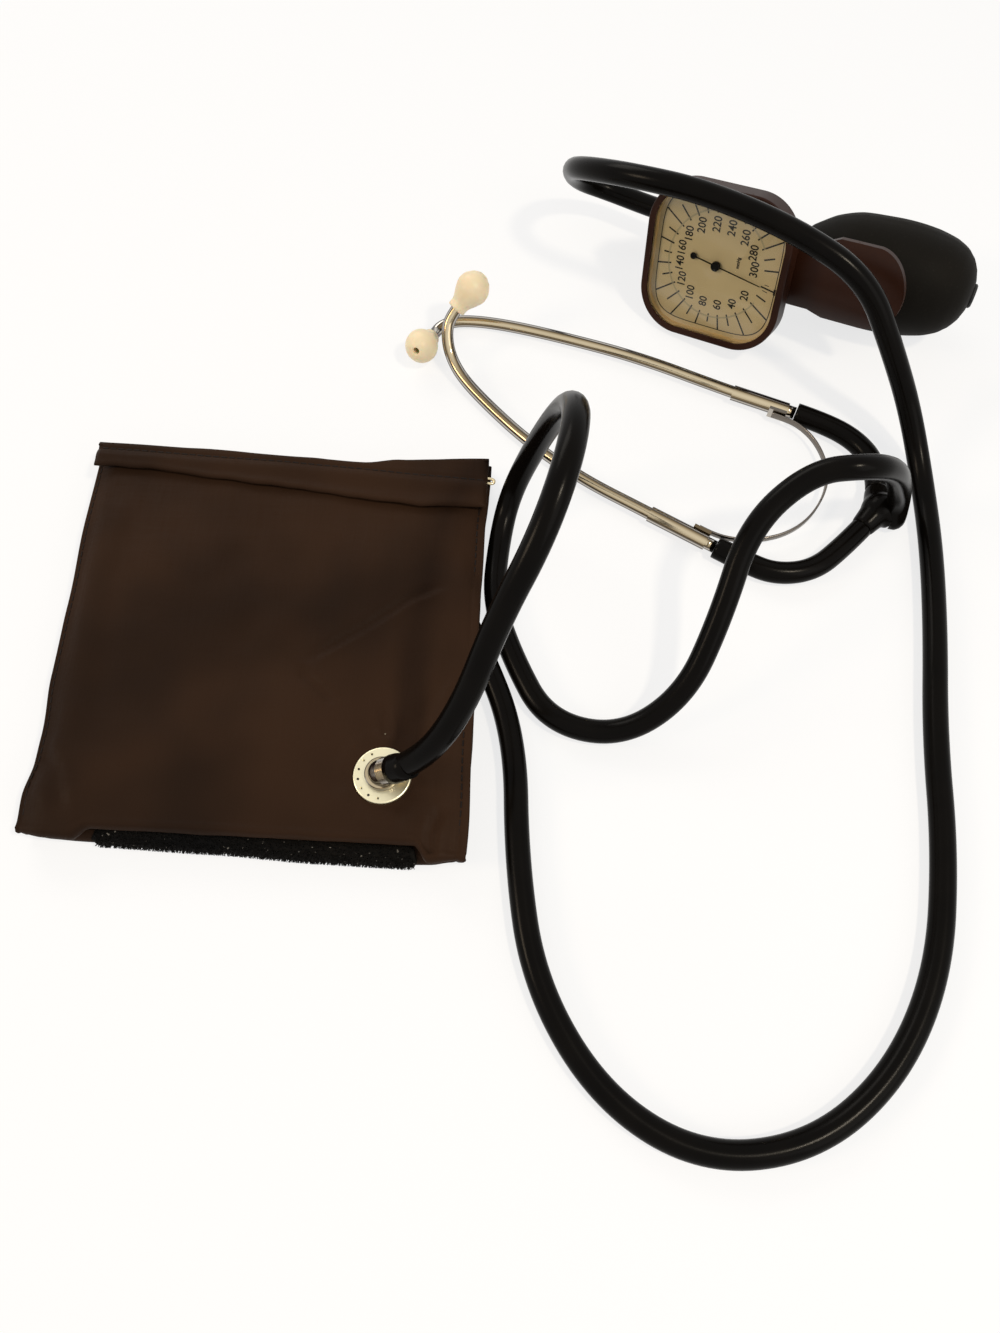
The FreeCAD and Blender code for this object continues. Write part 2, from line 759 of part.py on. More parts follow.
def ear_tip(tip_middle, tip_axis):
    axis = Vector(tip_axis).normalize()
    base = tip_middle - axis * (ear_tip_length / 2)
    outline = [(0, ear_tip_base_radius), (0.16, ear_tip_base_radius * 1.03), (0.34, 0.80 * ear_tip_radius),
               (0.55, ear_tip_radius), (0.75, 0.93 * ear_tip_radius), (0.92, 0.62 * ear_tip_radius),
               (1.0, 0.30 * ear_tip_radius)]
    body = turned_smooth([(share * ear_tip_length, radius) for share, radius in outline], base, axis)
    socket = rod(base - axis, base + axis * ear_tip_grip, tube_radius)
    return body.cut(socket).cut(rod(base, base + axis * (ear_tip_length + 2), ear_tip_bore))


def clip_frame(start, end, towards):
    """Directions along the tube and sideways, towards the leaf spring."""
    along = (end - start).normalize()
    side = Z_AXIS.cross(along).normalize()
    if side.dot(towards - start) < 0:
        side = side * -1
    return along, side


def spring_clip(start, end, tube_outer, towards):
    """A sheet sleeve round the tube, with a flat tab that the leaf spring's end lies against."""
    sleeve = rod(start, end, tube_radius + clip_clearance + clip_wall)
    along, side = clip_frame(start, end, towards)
    tab = Part.makeBox(clip_tab_length, clip_tab_thickness, clip_tab_height,
                       Vector(0, tube_radius, -clip_tab_height / 2))
    frame = FreeCAD.Matrix(along.x, side.x, 0, start.x, along.y, side.y, 0, start.y,
                           0, 0, 1, start.z, 0, 0, 0, 1)
    tab = tab.transformGeometry(frame)
    return sleeve.fuse(tab).cut(tube_outer).removeSplitter()


def leaf_end(start, end, towards):
    """Where the leaf spring ends, beside the clip's tab."""
    along, side = clip_frame(start, end, towards)
    reach = tube_radius + clip_tab_thickness + leaf_gap + leaf_thickness / 2
    point = start + along * (clip_tab_length * 0.75) + side * reach
    return Vector(point.x, point.y, leaf_rest)


def make_leaf_spring():
    first = leaf_end(clip_1_start, clip_1_end, leaf_route[0])
    last = leaf_end(clip_2_start, clip_2_end, leaf_route[-1])
    wire, _ = rounded_route([first] + leaf_route + [last])
    side = (leaf_route[0] - first).cross(Z_AXIS).normalize() * (leaf_thickness / 2)
    rise = Z_AXIS * (leaf_height / 2)
    corners = [first - side - rise, first + side - rise, first + side + rise, first - side + rise]
    section = Part.makePolygon(corners + corners[:1])
    return wire.makePipeShell([section], True, False)


# ---------------------------------------------------------------- gauge, in its own frame
def gauge_placement():
    turn = (Rotation(Z_AXIS, gauge_yaw) * Rotation(Y_AXIS, gauge_pitch)
            * Rotation(X_AXIS, gauge_roll))
    return Placement(gauge_place, turn)


def gauge_point(x, y, z):
    return gauge_placement().multVec(Vector(x, y, z))


def case_outside():
    back_half = case_back_half
    return rounded_taper(case_front_half, case_front_corner, -case_shoulder,
                         back_half, case_back_corner, rear_rim)


def case_inside():
    slope = (case_front_half - case_back_half) / (case_depth - case_shoulder)
    extra = 2.0
    return rounded_taper(case_front_half - case_wall, case_front_corner - case_wall,
                         -case_shoulder, case_back_half - case_wall - slope * extra,
                         case_back_corner - case_wall - slope * extra, rear_rim - extra)


def corner_points():
    spread = screw_circle_half
    return [(sx * spread, sy * spread) for sx in (-1, 1) for sy in (-1, 1)]


def make_gauge_housing():
    wall = case_outside().cut(case_inside())
    rim = rounded_plate(case_front_half, case_front_corner, -case_shoulder, -dial_thickness)
    rim = rim.cut(rounded_plate(case_front_half - case_wall, case_front_corner - case_wall,
                                -case_shoulder - 1, 1))
    housing = wall.fuse(rim)
    for x, y in corner_points():
        boss = disc(boss_radius, rear_rim, rear_rim + boss_height, x, y)
        housing = housing.fuse(boss)
    housing = housing.common(case_outside().fuse(
        rounded_plate(case_front_half, case_front_corner, -case_shoulder, 1)))
    for x, y in corner_points():
        housing = housing.cut(disc(screw_radius, rear_rim - 1, rear_rim + boss_height - boss_roof, x, y))
    return housing.removeSplitter()


def cover_blank(z0, z1):
    half = case_back_half - cover_inset
    return rounded_plate(half, case_back_corner - cover_inset, z0, z1)


def make_case_gasket():
    gasket = cover_blank(cover_front, rear_rim)
    inner_half = case_back_half - case_wall
    gasket = gasket.cut(rounded_plate(inner_half, case_back_corner - case_wall,
                                      cover_front - 1, rear_rim + 1))
    for x, y in corner_points():
        gasket = gasket.cut(disc(screw_radius, cover_front - 1, rear_rim + 1, x, y))
    return gasket


def make_back_cover():
    cover = cover_blank(cover_back, cover_front)
    hub = disc(stem_radius + cover_hub_wall, cover_front, cover_front + cover_hub_height)
    cover = cover.fuse(hub)
    cover = cover.cut(disc(stem_radius + stem_clearance, cover_back - 1,
                           cover_front + cover_hub_height + 1))
    for x, y in corner_points():
        cover = cover.cut(disc(screw_radius, cover_back - 1, cover_front + 1, x, y))
    return cover.removeSplitter()


def make_cover_screws():
    screws = []
    screw_end = rear_rim + boss_height - boss_roof - screw_end_gap
    for x, y in corner_points():
        head = disc(screw_head_radius, cover_back - screw_head_height, cover_back, x, y)
        shank = disc(screw_radius - shank_clearance, cover_back - 0.2, screw_end, x, y)
        slot = box(x - screw_head_radius, x + screw_head_radius,
                   y - screw_slot_width / 2, y + screw_slot_width / 2,
                   cover_back - screw_head_height, cover_back - screw_head_height * 0.5)
        screws.append(head.fuse(shank).cut(slot).removeSplitter())
    return Part.makeCompound(screws)


def make_dial_plate():
    dial = rounded_plate(dial_half, dial_corner, -dial_thickness, 0)
    return dial.cut(disc(dial_hole, -dial_thickness - 1, 1))


def make_lens_gasket():
    ring = rounded_plate(dial_half, dial_corner, 0, spacer_height)
    return ring.cut(rounded_plate(dial_half - spacer_width, dial_corner - spacer_width,
                                  -1, spacer_height + 1))


def make_lens():
    """Clear window, a little domed."""
    top = spacer_height + lens_thickness
    slab = rounded_plate(dial_half, dial_corner, spacer_height, top)
    ball_radius = (dial_half ** 2 + lens_dome ** 2) / (2 * lens_dome)
    inner_half = dial_half - bezel_lip - fit_clearance
    inner_corner = dial_corner - bezel_lip - fit_clearance
    cap = Part.makeSphere(ball_radius, Vector(0, 0, top + lens_dome - ball_radius))
    dome = rounded_plate(inner_half, inner_corner, top - lens_thickness / 2, top + lens_dome + 1)
    return slab.fuse(dome.common(cap)).removeSplitter()


def make_bezel_ring():
    lens_top = spacer_height + lens_thickness
    top = lens_top + bezel_lip_height
    outer_half = case_front_half + fit_clearance + bezel_wall
    outer_corner = case_front_corner + fit_clearance + bezel_wall
    bezel = rounded_plate(outer_half, outer_corner, -case_shoulder, top)
    top_rim = [edge for edge in bezel.Edges if edge.BoundBox.ZMin > top - 0.01]
    bezel = bezel.makeFillet(min(bezel_wall, bezel_lip_height) * 0.8, top_rim)
    bezel = bezel.cut(rounded_plate(case_front_half + fit_clearance,
                                    case_front_corner + fit_clearance,
                                    -case_shoulder - 1, -dial_thickness))
    bezel = bezel.cut(rounded_plate(dial_half + fit_clearance, dial_corner + fit_clearance,
                                    -dial_thickness - 1, lens_top))
    return bezel.cut(rounded_plate(dial_half - bezel_lip, dial_corner - bezel_lip, 0, top + 1))


def pillar_points():
    reach = plate_radius - pillar_edge
    return [(reach * math.cos(math.radians(a)), reach * math.sin(math.radians(a)))
            for a in pillar_angles]


def sector_arbor():
    angle = math.radians(mesh_direction)
    return -gear_distance * math.cos(angle), -gear_distance * math.sin(angle)


def make_movement_plate():
    plate = disc(plate_radius, front_plate_top - plate_thickness, front_plate_top)
    hole = arbor_radius + arbor_hole_clearance
    plate = plate.cut(disc(hole, front_plate_top - 2, front_plate_top + 1))
    x, y = sector_arbor()
    return plate.cut(disc(hole, front_plate_top - 2, front_plate_top + 1, x, y))


def rocker_ends():
    arm_y = sector_arbor()[1] + sector_tail
    return arm_y - rocker_start, arm_y - rocker_start + rocker_length


def make_movement_bridge():
    """Rear plate, with two brackets that carry the rocking shaft."""
    z0 = rear_plate_top - plate_thickness
    plate = disc(plate_radius, z0, rear_plate_top)
    hole = arbor_radius + arbor_hole_clearance
    x, y = sector_arbor()
    plate = plate.cut(disc(hole, z0 - 1, rear_plate_top + 1))
    plate = plate.cut(disc(hole, z0 - 1, rear_plate_top + 1, x, y))
    arm_y = y + sector_tail
    arm_side = rocker_arm_width / 2 + slot_clearance
    arm_front = rocker_arm_thickness / 2 + slot_clearance
    plate = plate.cut(box(rocker_axis_x - arm_front - rocker_arm_swing, rocker_axis_x + arm_front,
                          arm_y - arm_side, arm_y + arm_side, z0 - 1, rear_plate_top + 1))
    low, high = rocker_ends()
    for y0 in (low - bracket_thickness, high):
        bracket = box(rocker_axis_x - bracket_width / 2, rocker_axis_x + bracket_width / 2,
                      y0, y0 + bracket_thickness, rocker_axis_z - bracket_edge, z0)
        plate = plate.fuse(bracket)
    pin = rod(Vector(rocker_axis_x, low - 3, rocker_axis_z),
              Vector(rocker_axis_x, high + 3, rocker_axis_z), rocker_pin_radius + arbor_hole_clearance)
    return plate.cut(pin).removeSplitter()


def make_pillars():
    gap_low = rear_plate_top
    gap_high = front_plate_top - plate_thickness
    posts = [disc(pillar_radius, gap_low, gap_high, x, y) for x, y in pillar_points()]
    return Part.makeCompound(posts)


def make_movement_screws():
    heads = [disc(movement_screw_radius, front_plate_top, front_plate_top + movement_screw_height,
                  x, y) for x, y in pillar_points()]
    return Part.makeCompound(heads)


def gear_tooth(radius, angle, z0):
    """One narrow tooth that stands on a wheel's root circle and points outwards."""
    pitch = 2 * math.pi * gear_module / 2
    root_half = pitch * 0.25 - gear_backlash
    tip_half = root_half * 0.45
    inner = radius - tooth_height / 2 - 0.1
    outer = radius + tooth_height / 2
    corners = [Vector(inner, -root_half, z0), Vector(outer, -tip_half, z0),
               Vector(outer, tip_half, z0), Vector(inner, root_half, z0)]
    tooth = Part.Face(Part.makePolygon(corners + corners[:1])).extrude(Vector(0, 0, gear_thickness))
    tooth.rotate(Vector(0, 0, 0), Z_AXIS, angle)
    return tooth


def make_pinion():
    """Pinion on its arbor, which carries the pointer in front."""
    root = pinion_pitch_radius - tooth_height / 2 - 0.05
    z0 = sector_mesh_height
    teeth = [gear_tooth(pinion_pitch_radius, mesh_direction + 180 + (n + 0.5) * 360 / pinion_teeth,
                        z0) for n in range(pinion_teeth)]
    arbor = disc(arbor_radius, rear_plate_top - plate_thickness * 0.8, pointer_height)
    return fused([arbor, disc(root, z0, z0 + gear_thickness)] + teeth)


def make_sector_gear():
    """Toothed sector on its arbor, with a tail pin that the rocking shaft's arm pushes."""
    ax, ay = sector_arbor()
    z0 = sector_mesh_height
    z1 = z0 + gear_thickness
    root = sector_pitch_radius - tooth_height / 2 - 0.05
    step = 360 / sector_full_teeth
    first = mesh_direction - step * int((mesh_direction - sector_first_angle) / step)
    angles = []
    angle = first
    while angle <= sector_last_angle:
        angles.append(angle)
        angle += step
    width = sector_last_angle - sector_first_angle
    rim = Part.makeCylinder(root, z1 - z0, Vector(0, 0, z0), Z_AXIS, width)
    rim.rotate(Vector(0, 0, 0), Z_AXIS, sector_first_angle)
    window = Part.makeCylinder(root - 2.0, z1 - z0 + 2, Vector(0, 0, z0 - 1), Z_AXIS, width - 16)
    window.rotate(Vector(0, 0, 0), Z_AXIS, sector_first_angle + 8)
    window = window.cut(disc(4.0, z0 - 2, z1 + 2))
    blank = rim.cut(window).fuse(disc(2.2, z0, z1))
    tail = box(-0.8, 0.8, 0, sector_tail + 0.6, z0, z1)
    pin_bottom = rocker_axis_z + rocker_arm_reach - 1.8
    pin = disc(tail_pin_radius, pin_bottom, z1, 0, sector_tail)
    arbor = disc(arbor_radius, rear_plate_top - plate_thickness * 0.8,
                 front_plate_top - plate_thickness * 0.2)
    teeth = [gear_tooth(sector_pitch_radius, a, z0) for a in angles]
    gear = fused([blank, tail, pin, arbor] + teeth)
    gear.translate(Vector(ax, ay, 0))
    return gear


def make_rocking_shaft():
    """Cross shaft: its lever rests on the capsule's pad, its arm pushes the sector's tail."""
    low, high = rocker_ends()
    x, z = rocker_axis_x, rocker_axis_z
    shaft = rod(Vector(x, low + 0.1, z), Vector(x, high - 0.1, z), rocker_radius)
    pivots = rod(Vector(x, low - bracket_thickness + 0.2, z),
                 Vector(x, high + bracket_thickness - 0.2, z), rocker_pin_radius)
    arm_y = sector_arbor()[1] + sector_tail
    arm = box(x - rocker_arm_thickness / 2, x + rocker_arm_thickness / 2,
              arm_y - rocker_arm_width / 2, arm_y + rocker_arm_width / 2, z, z + rocker_arm_reach)
    lever = box(x, rocker_foot_radius, -rocker_lever_width / 2, rocker_lever_width / 2,
                z - rocker_lever_half, z + rocker_lever_half)
    pad_top = capsule_bottom + capsule_height + pad_height
    foot = disc(rocker_foot_radius, pad_top + rocker_foot_gap, z)
    return fused([shaft, pivots, arm, lever, foot])


def make_hairspring():
    """Flat spiral from the pinion's arbor to a stud on the rear plate."""
    inner = arbor_radius + 0.35
    steps_per_turn = 24
    count = hairspring_turns * steps_per_turn
    points = []
    for index in range(count + 1):
        angle = 2 * math.pi * index / steps_per_turn
        radius = inner + hairspring_pitch * index / steps_per_turn
        points.append(Vector(radius * math.cos(angle), radius * math.sin(angle), 0))
    spiral = Part.BSplineCurve()
    spiral.interpolate(points)
    half = hairspring_wire / 2
    outer_side = []
    inner_side = []
    for point, parameter in zip(points, [spiral.parameter(p) for p in points]):
        tangent = spiral.tangent(parameter)[0]
        normal = Vector(-tangent.y, tangent.x, 0)
        outer_side.append(point - normal * half)
        inner_side.append(point + normal * half)
    curves = []
    for side in (outer_side, inner_side):
        curve = Part.BSplineCurve()
        curve.interpolate(side)
        curves.append(curve)
    ends = [Part.LineSegment(outer_side[-1], inner_side[-1]).toShape(),
            Part.LineSegment(inner_side[0], outer_side[0]).toShape()]
    face = Part.Face(Part.Wire([curves[0].toShape(), ends[0], curves[1].toShape(), ends[1]]))
    ribbon = face.extrude(Vector(0, 0, hairspring_height))
    ribbon.translate(Vector(0, 0, hairspring_top - hairspring_height))
    reach = inner + hairspring_pitch * hairspring_turns
    stud = box(reach - 0.4, reach + 0.8, -0.4, 0.4, rear_plate_top, hairspring_top + 0.1)
    collet = pipe(Vector(0, 0, hairspring_top - hairspring_height), Vector(0, 0, hairspring_top),
                  inner + 0.05, arbor_radius + 0.02)
    return fused([ribbon, stud, collet])


def make_capsule():
    """Corrugated pressure capsule on a hollow stem."""
    z0 = capsule_bottom
    shell_radius = capsule_radius - capsule_rim_width
    outline = [(0, 0), (0, shell_radius)]
    for index in range(capsule_rings + 1):
        share = index / capsule_rings
        radius = shell_radius - share * (shell_radius - pad_seat_radius)
        lift = capsule_height - (capsule_ripple if index % 2 == 0 else 0.0)
        outline.append((lift, radius))
    outline.append((capsule_height, pad_seat_radius - 0.3))
    outline.append((capsule_height, 0))
    body = turned(outline, Vector(0, 0, z0), Z_AXIS)
    rim_middle = z0 + capsule_height / 2
    body = body.fuse(disc(capsule_radius, rim_middle - capsule_rim_height / 2,
                          rim_middle + capsule_rim_height / 2))
    body = body.cut(disc(shell_radius - capsule_wall, z0 + capsule_wall, z0 + 3 * capsule_wall))
    stem = disc(stem_radius, cover_back, z0 + capsule_wall / 2)
    body = body.fuse(stem).cut(disc(air_bore, cover_back - 1, z0 + 2 * capsule_wall))
    return body.removeSplitter()


def make_capsule_pad():
    z0 = capsule_bottom + capsule_height
    return disc(pad_radius, z0 + pad_gap, z0 + pad_height)


def make_pointer():
    angle = -zero_angle
    z0 = pointer_height
    z1 = z0 + pointer_thickness
    half = pointer_width / 2
    corners = [Vector(-pointer_tail, -half * 0.45, z0), Vector(0, -half, z0),
               Vector(pointer_length, -0.12, z0), Vector(pointer_length, 0.12, z0),
               Vector(0, half, z0), Vector(-pointer_tail, half * 0.45, z0)]
    blade = Part.Face(Part.makePolygon(corners + corners[:1])).extrude(Vector(0, 0, z1 - z0))
    weight = disc(pointer_ball, z0, z1, -pointer_tail, 0)
    hub = disc(pointer_hub_radius, z0 - 0.4, z0 + pointer_hub_height)
    rims = [edge for edge in hub.Edges if edge.Closed]
    hub = hub.makeChamfer(0.25, rims)
    pointer = fused([blade, weight, hub])
    pointer = pointer.cut(disc(arbor_radius, z0 - 1, z0 + 0.001))
    pointer.rotate(Vector(0, 0, 0), Z_AXIS, angle)
    return pointer


def make_spoon_handle():
    """Curved finger plate on a neck that fits against the case's side."""
    def arc_edge(drop, reverse=False):
        left = Vector(0, -spoon_half_width, spoon_edge - drop)
        right = Vector(0, spoon_half_width, spoon_edge - drop)
        middle = Vector(0, 0, spoon_crown - drop)
        ends = (right, middle, left) if reverse else (left, middle, right)
        return Part.Arc(*ends).toShape(), ends
    top, top_ends = arc_edge(0)
    bottom, bottom_ends = arc_edge(spoon_thickness, True)
    sides = [Part.LineSegment(top_ends[2], bottom_ends[0]).toShape(),
             Part.LineSegment(bottom_ends[2], top_ends[0]).toShape()]
    section = Part.Face(Part.Wire([top, sides[0], bottom, sides[1]]))
    root = case_back_half - spoon_root_inset
    sheet = section.extrude(Vector(spoon_end - root, 0, 0))
    sheet.translate(Vector(root, 0, 0))
    straight_end = spoon_end - spoon_tip_radius
    z0 = spoon_edge - spoon_thickness - 2
    corners = [Vector(root, -neck_half_width, z0), Vector(spoon_shoulder_start, -neck_half_width, z0),
               Vector(spoon_shoulder_end, -spoon_half_width, z0),
               Vector(straight_end, -spoon_half_width, z0)]
    mirrored = [Vector(p.x, -p.y, p.z) for p in reversed(corners)]
    tip = Part.Arc(corners[-1], Vector(spoon_end, 0, z0), mirrored[0]).toShape()
    sides = [Part.makePolygon(corners), tip, Part.makePolygon(mirrored),
             Part.LineSegment(mirrored[-1], corners[0]).toShape()]
    edges = []
    for side in sides:
        edges += side.Edges
    plan = Part.Face(Part.Wire(edges)).extrude(Vector(0, 0, spoon_crown + 2 - z0))
    plate = sheet.common(plan)
    neck = box(root, neck_end, -neck_half_width, neck_half_width, neck_bottom, spoon_crown)
    below = box(root, neck_end, -neck_half_width, neck_half_width, neck_bottom, spoon_crown + 2)
    slope_cut = [Vector(neck_end - neck_slope, -neck_half_width - 1, neck_bottom - 1),
                 Vector(neck_end + 1, -neck_half_width - 1, neck_bottom - 1),
                 Vector(neck_end + 1, -neck_half_width - 1, spoon_crown - spoon_thickness)]
    wedge = Part.Face(Part.makePolygon(slope_cut + slope_cut[:1]))
    wedge = wedge.extrude(Vector(0, 2 * neck_half_width + 2, 0))
    top_ball = spoon_top_cutter(root, neck_end)
    neck = neck.cut(wedge).cut(top_ball).common(below)
    handle = plate.fuse(neck)
    outside = case_outside().fuse(rounded_plate(case_front_half, case_front_corner,
                                                -case_shoulder, 1))
    return handle.cut(outside).removeSplitter()


def spoon_top_cutter(x0, x1):
    """Everything above the spoon's crowned top, to trim the neck with."""
    left = Vector(x0, -spoon_half_width, spoon_edge)
    right = Vector(x0, spoon_half_width, spoon_edge)
    arc = Part.Arc(left, Vector(x0, 0, spoon_crown), right).toShape()
    lid = Part.makePolygon([right, Vector(x0, spoon_half_width, spoon_crown + 6),
                            Vector(x0, -spoon_half_width, spoon_crown + 6), left])
    return Part.Face(Part.Wire([arc] + lid.Edges)).extrude(Vector(x1 - x0, 0, 0))


# ---------------------------------------------------------------- air block, valves and bulb
def make_air_block():
    block = box(block_front, block_back, block_side_low, block_side_high, block_bottom, cover_back)
    long_edges = [edge for edge in block.Edges if abs(edge.tangentAt(0).x) > 0.9
                  and edge.BoundBox.ZMax < cover_back - 0.1]
    block = block.makeFillet(block_corner, long_edges)
    centre = (block_front + block_back) / 2
    block = block.cut(disc(air_bore, barb_z, cover_back + 1))
    block = block.cut(rod(Vector(block_front - 1, barb_y, barb_z), Vector(0, barb_y, barb_z),
                          air_bore))
    block = block.cut(rod(Vector(0, barb_y, barb_z), Vector(0, bulb_y, bulb_z), air_bore))
    block = block.cut(rod(Vector(centre, bulb_y, bulb_z), Vector(block_back + 1, bulb_y, bulb_z),
                          air_bore))
    valve_seat = block_front + valve_cone_depth
    valve_bore = rod(Vector(block_front - 1, valve_y, valve_z), Vector(valve_seat, valve_y, valve_z),
                     valve_body_radius)
    block = block.cut(valve_bore)
    return block.cut(rod(Vector(valve_seat - 0.1, valve_y, valve_z), Vector(centre, bulb_y, bulb_z),
                         valve_orifice))


def make_hose_barb():
    start = Vector(block_front, barb_y, barb_z)
    end = Vector(block_front - barb_reach, barb_y, barb_z)
    outline = [(0, barb_bore), (0, barb_radius)]
    span = barb_reach / barb_ridges
    for index in range(barb_ridges):
        foot = index * span
        outline.append((foot + span * 0.25, barb_radius))
        outline.append((foot + span * 0.35, barb_radius + barb_ridge))
        outline.append((foot + span, barb_radius))
    outline.append((barb_reach, barb_bore))
    return turned(outline, start, end - start)


def make_bulb_nipple():
    """Hollow stem between block and bulb, which holds the non-return ball."""
    start = Vector(block_back, bulb_y, bulb_z)
    flange_end = Vector(block_back + bulb_nipple_rim_length, bulb_y, bulb_z)
    end = Vector(nipple_tube_end, bulb_y, bulb_z)
    body = rod(start, flange_end, bulb_mouth_bore + bulb_nipple_rim)
    body = body.fuse(rod(start, end, bulb_mouth_bore))
    seat = Vector(check_seat_x, bulb_y, bulb_z)
    chamber_end = Vector(check_seat_x + 2 * check_ball_radius + check_travel, bulb_y, bulb_z)
    body = body.cut(rod(start - X_AXIS, end + X_AXIS, bulb_nipple_bore))
    return body.cut(rod(seat, chamber_end, check_chamber)).removeSplitter()


def make_check_ball():
    x = check_seat_x + check_ball_radius + check_travel - 0.02
    return Part.makeSphere(check_ball_radius, Vector(x, bulb_y, bulb_z))


def bulb_profile(inset):
    """Distance and radius of the bulb's skin, a share of its length and its radius."""
    length = bulb_end - bulb_start - 2 * inset
    shares = ((0.0, bulb_mouth_radius / bulb_radius), (0.05, 0.36), (0.12, 0.60), (0.22, 0.83),
              (0.34, 0.965), (0.5, 1.0), (0.62, 0.99), (0.74, 0.93), (0.84, 0.81), (0.91, 0.66),
              (0.96, 0.49), (1.0, end_disc_radius / bulb_radius))
    points = []
    for share, width in shares:
        points.append((bulb_start + inset + share * length, max(width * bulb_radius - inset, 1.0)))
    return points


def bulb_tilt():
    """The bulb and its end valve lean about the middle of the nipple, on which the mouth bends."""
    pivot = Vector((bulb_start + nipple_tube_end) / 2, bulb_y, bulb_z)
    turn = Rotation(Z_AXIS, bulb_swing) * Rotation(Y_AXIS, bulb_droop)
    return Placement(Vector(0, 0, 0), turn, pivot)


def tilted(shape):
    placed = shape.copy()
    placed.Placement = bulb_tilt().multiply(placed.Placement)
    return placed


def make_squeeze_bulb():
    axis_point = Vector(0, bulb_y, bulb_z)
    skin = turned_smooth(bulb_profile(0.0), axis_point, X_AXIS)
    hollow = turned_smooth(bulb_profile(bulb_wall), axis_point, X_AXIS)
    room = 2 * bulb_radius
    hollow = hollow.common(box(nipple_tube_end, bulb_end - end_plug_length,
                               bulb_y - room, bulb_y + room, bulb_z - room, bulb_z + room))
    tail = rod(Vector(bulb_end - end_plug_length - 1, bulb_y, bulb_z),
               Vector(bulb_end + 1, bulb_y, bulb_z), end_plug_radius)
    bulb = tilted(skin.cut(hollow).cut(tail))
    mouth = rod(Vector(bulb_start - 2, bulb_y, bulb_z), Vector(nipple_tube_end + 1, bulb_y, bulb_z),
                bulb_mouth_bore)
    return bulb.cut(mouth)


def make_end_valve_body():
    start = Vector(bulb_end - end_plug_length, bulb_y, bulb_z)
    face = Vector(bulb_end, bulb_y, bulb_z)
    end = Vector(bulb_end + end_disc_thickness, bulb_y, bulb_z)
    cap = rod(face, end, end_disc_radius)
    rims = [edge for edge in cap.Edges if edge.Closed]
    cap = cap.makeFillet(end_disc_thickness * 0.3, rims)
    body = cap.fuse(rod(start, face + X_AXIS * 0.2, end_plug_radius))
    body = body.cut(rod(start - X_AXIS, end + X_AXIS, inlet_hole))
    chamber = rod(inlet_ball_centre() - X_AXIS * (check_ball_radius + check_travel),
                  inlet_ball_centre() + X_AXIS * check_ball_radius, check_chamber)
    return tilted(body.cut(chamber).removeSplitter())


def inlet_ball_centre():
    return Vector(bulb_end - end_plug_length / 2 + 0.4, bulb_y, bulb_z)


def make_inlet_ball():
    return tilted(Part.makeSphere(check_ball_radius - 0.02, inlet_ball_centre()))


def valve_line(x):
    return Vector(x, valve_y, valve_z)


def make_valve_body():
    inner = block_front + valve_cone_depth
    outer = block_front - valve_body_reach
    body = rod(valve_line(inner), valve_line(outer), valve_body_radius)
    collar = rod(valve_line(block_front), valve_line(block_front - valve_collar_length),
                 valve_body_radius + valve_collar)
    body = body.fuse(collar)
    bore = valve_stem_radius + valve_stem_clearance
    body = body.cut(rod(valve_line(inner - valve_cone_length), valve_line(outer - 1), bore))
    return body.cut(rod(valve_line(inner + 1), valve_line(outer), valve_orifice)).removeSplitter()


def make_valve_needle():
    cone_base = block_front + valve_cone_depth - valve_cone_length
    outer = block_front - valve_body_reach - knob_gap - knob_length + knob_wall
    stem = rod(valve_line(cone_base), valve_line(outer), valve_stem_radius)
    cone = Part.makeCone(valve_stem_radius, 0.25, valve_cone_length * 0.9, valve_line(cone_base),
                         X_AXIS)
    hole = rod(valve_line(cone_base), valve_line(cone_base + valve_cone_length),
               valve_orifice - 0.01)
    return stem.fuse(cone.common(hole)).removeSplitter()


def make_valve_knob():
    near = block_front - valve_body_reach - knob_gap
    far = near - knob_length
    knob = rod(valve_line(near), valve_line(far), knob_radius)
    rims = [edge for edge in knob.Edges if edge.Closed]
    knob = knob.makeChamfer(knob_chamfer, rims)
    for index in range(knob_flutes):
        angle = 2 * math.pi * index / knob_flutes
        offset = Vector(0, math.cos(angle), math.sin(angle)) * knob_radius
        knob = knob.cut(rod(valve_line(near - knob_band) + offset,
                            valve_line(far + knob_band) + offset, knob_flute_radius))
    return knob.cut(rod(valve_line(near + 1), valve_line(far + knob_wall), valve_stem_radius + knob_fit))


# ---------------------------------------------------------------- export
def export(name, shape):
    solids = shape.Solids
    for solid in solids:
        if not solid.isValid() or solid.Volume <= 0:
            print("not a good solid:", name, solid.isValid(), solid.Volume)
    out = solids[0] if len(solids) == 1 else Part.makeCompound(solids)
    box_now = out.BoundBox
    print(f"{name}: {len(solids)} solid, volume {out.Volume:.1f}, z {box_now.ZMin:.2f} to "
          f"{box_now.ZMax:.2f}")
    out.exportStep(f"parts/{name}.step")


def export_in_gauge(name, shape):
    placed = shape.copy()
    placed.Placement = gauge_placement().multiply(placed.Placement)
    export(name, placed)


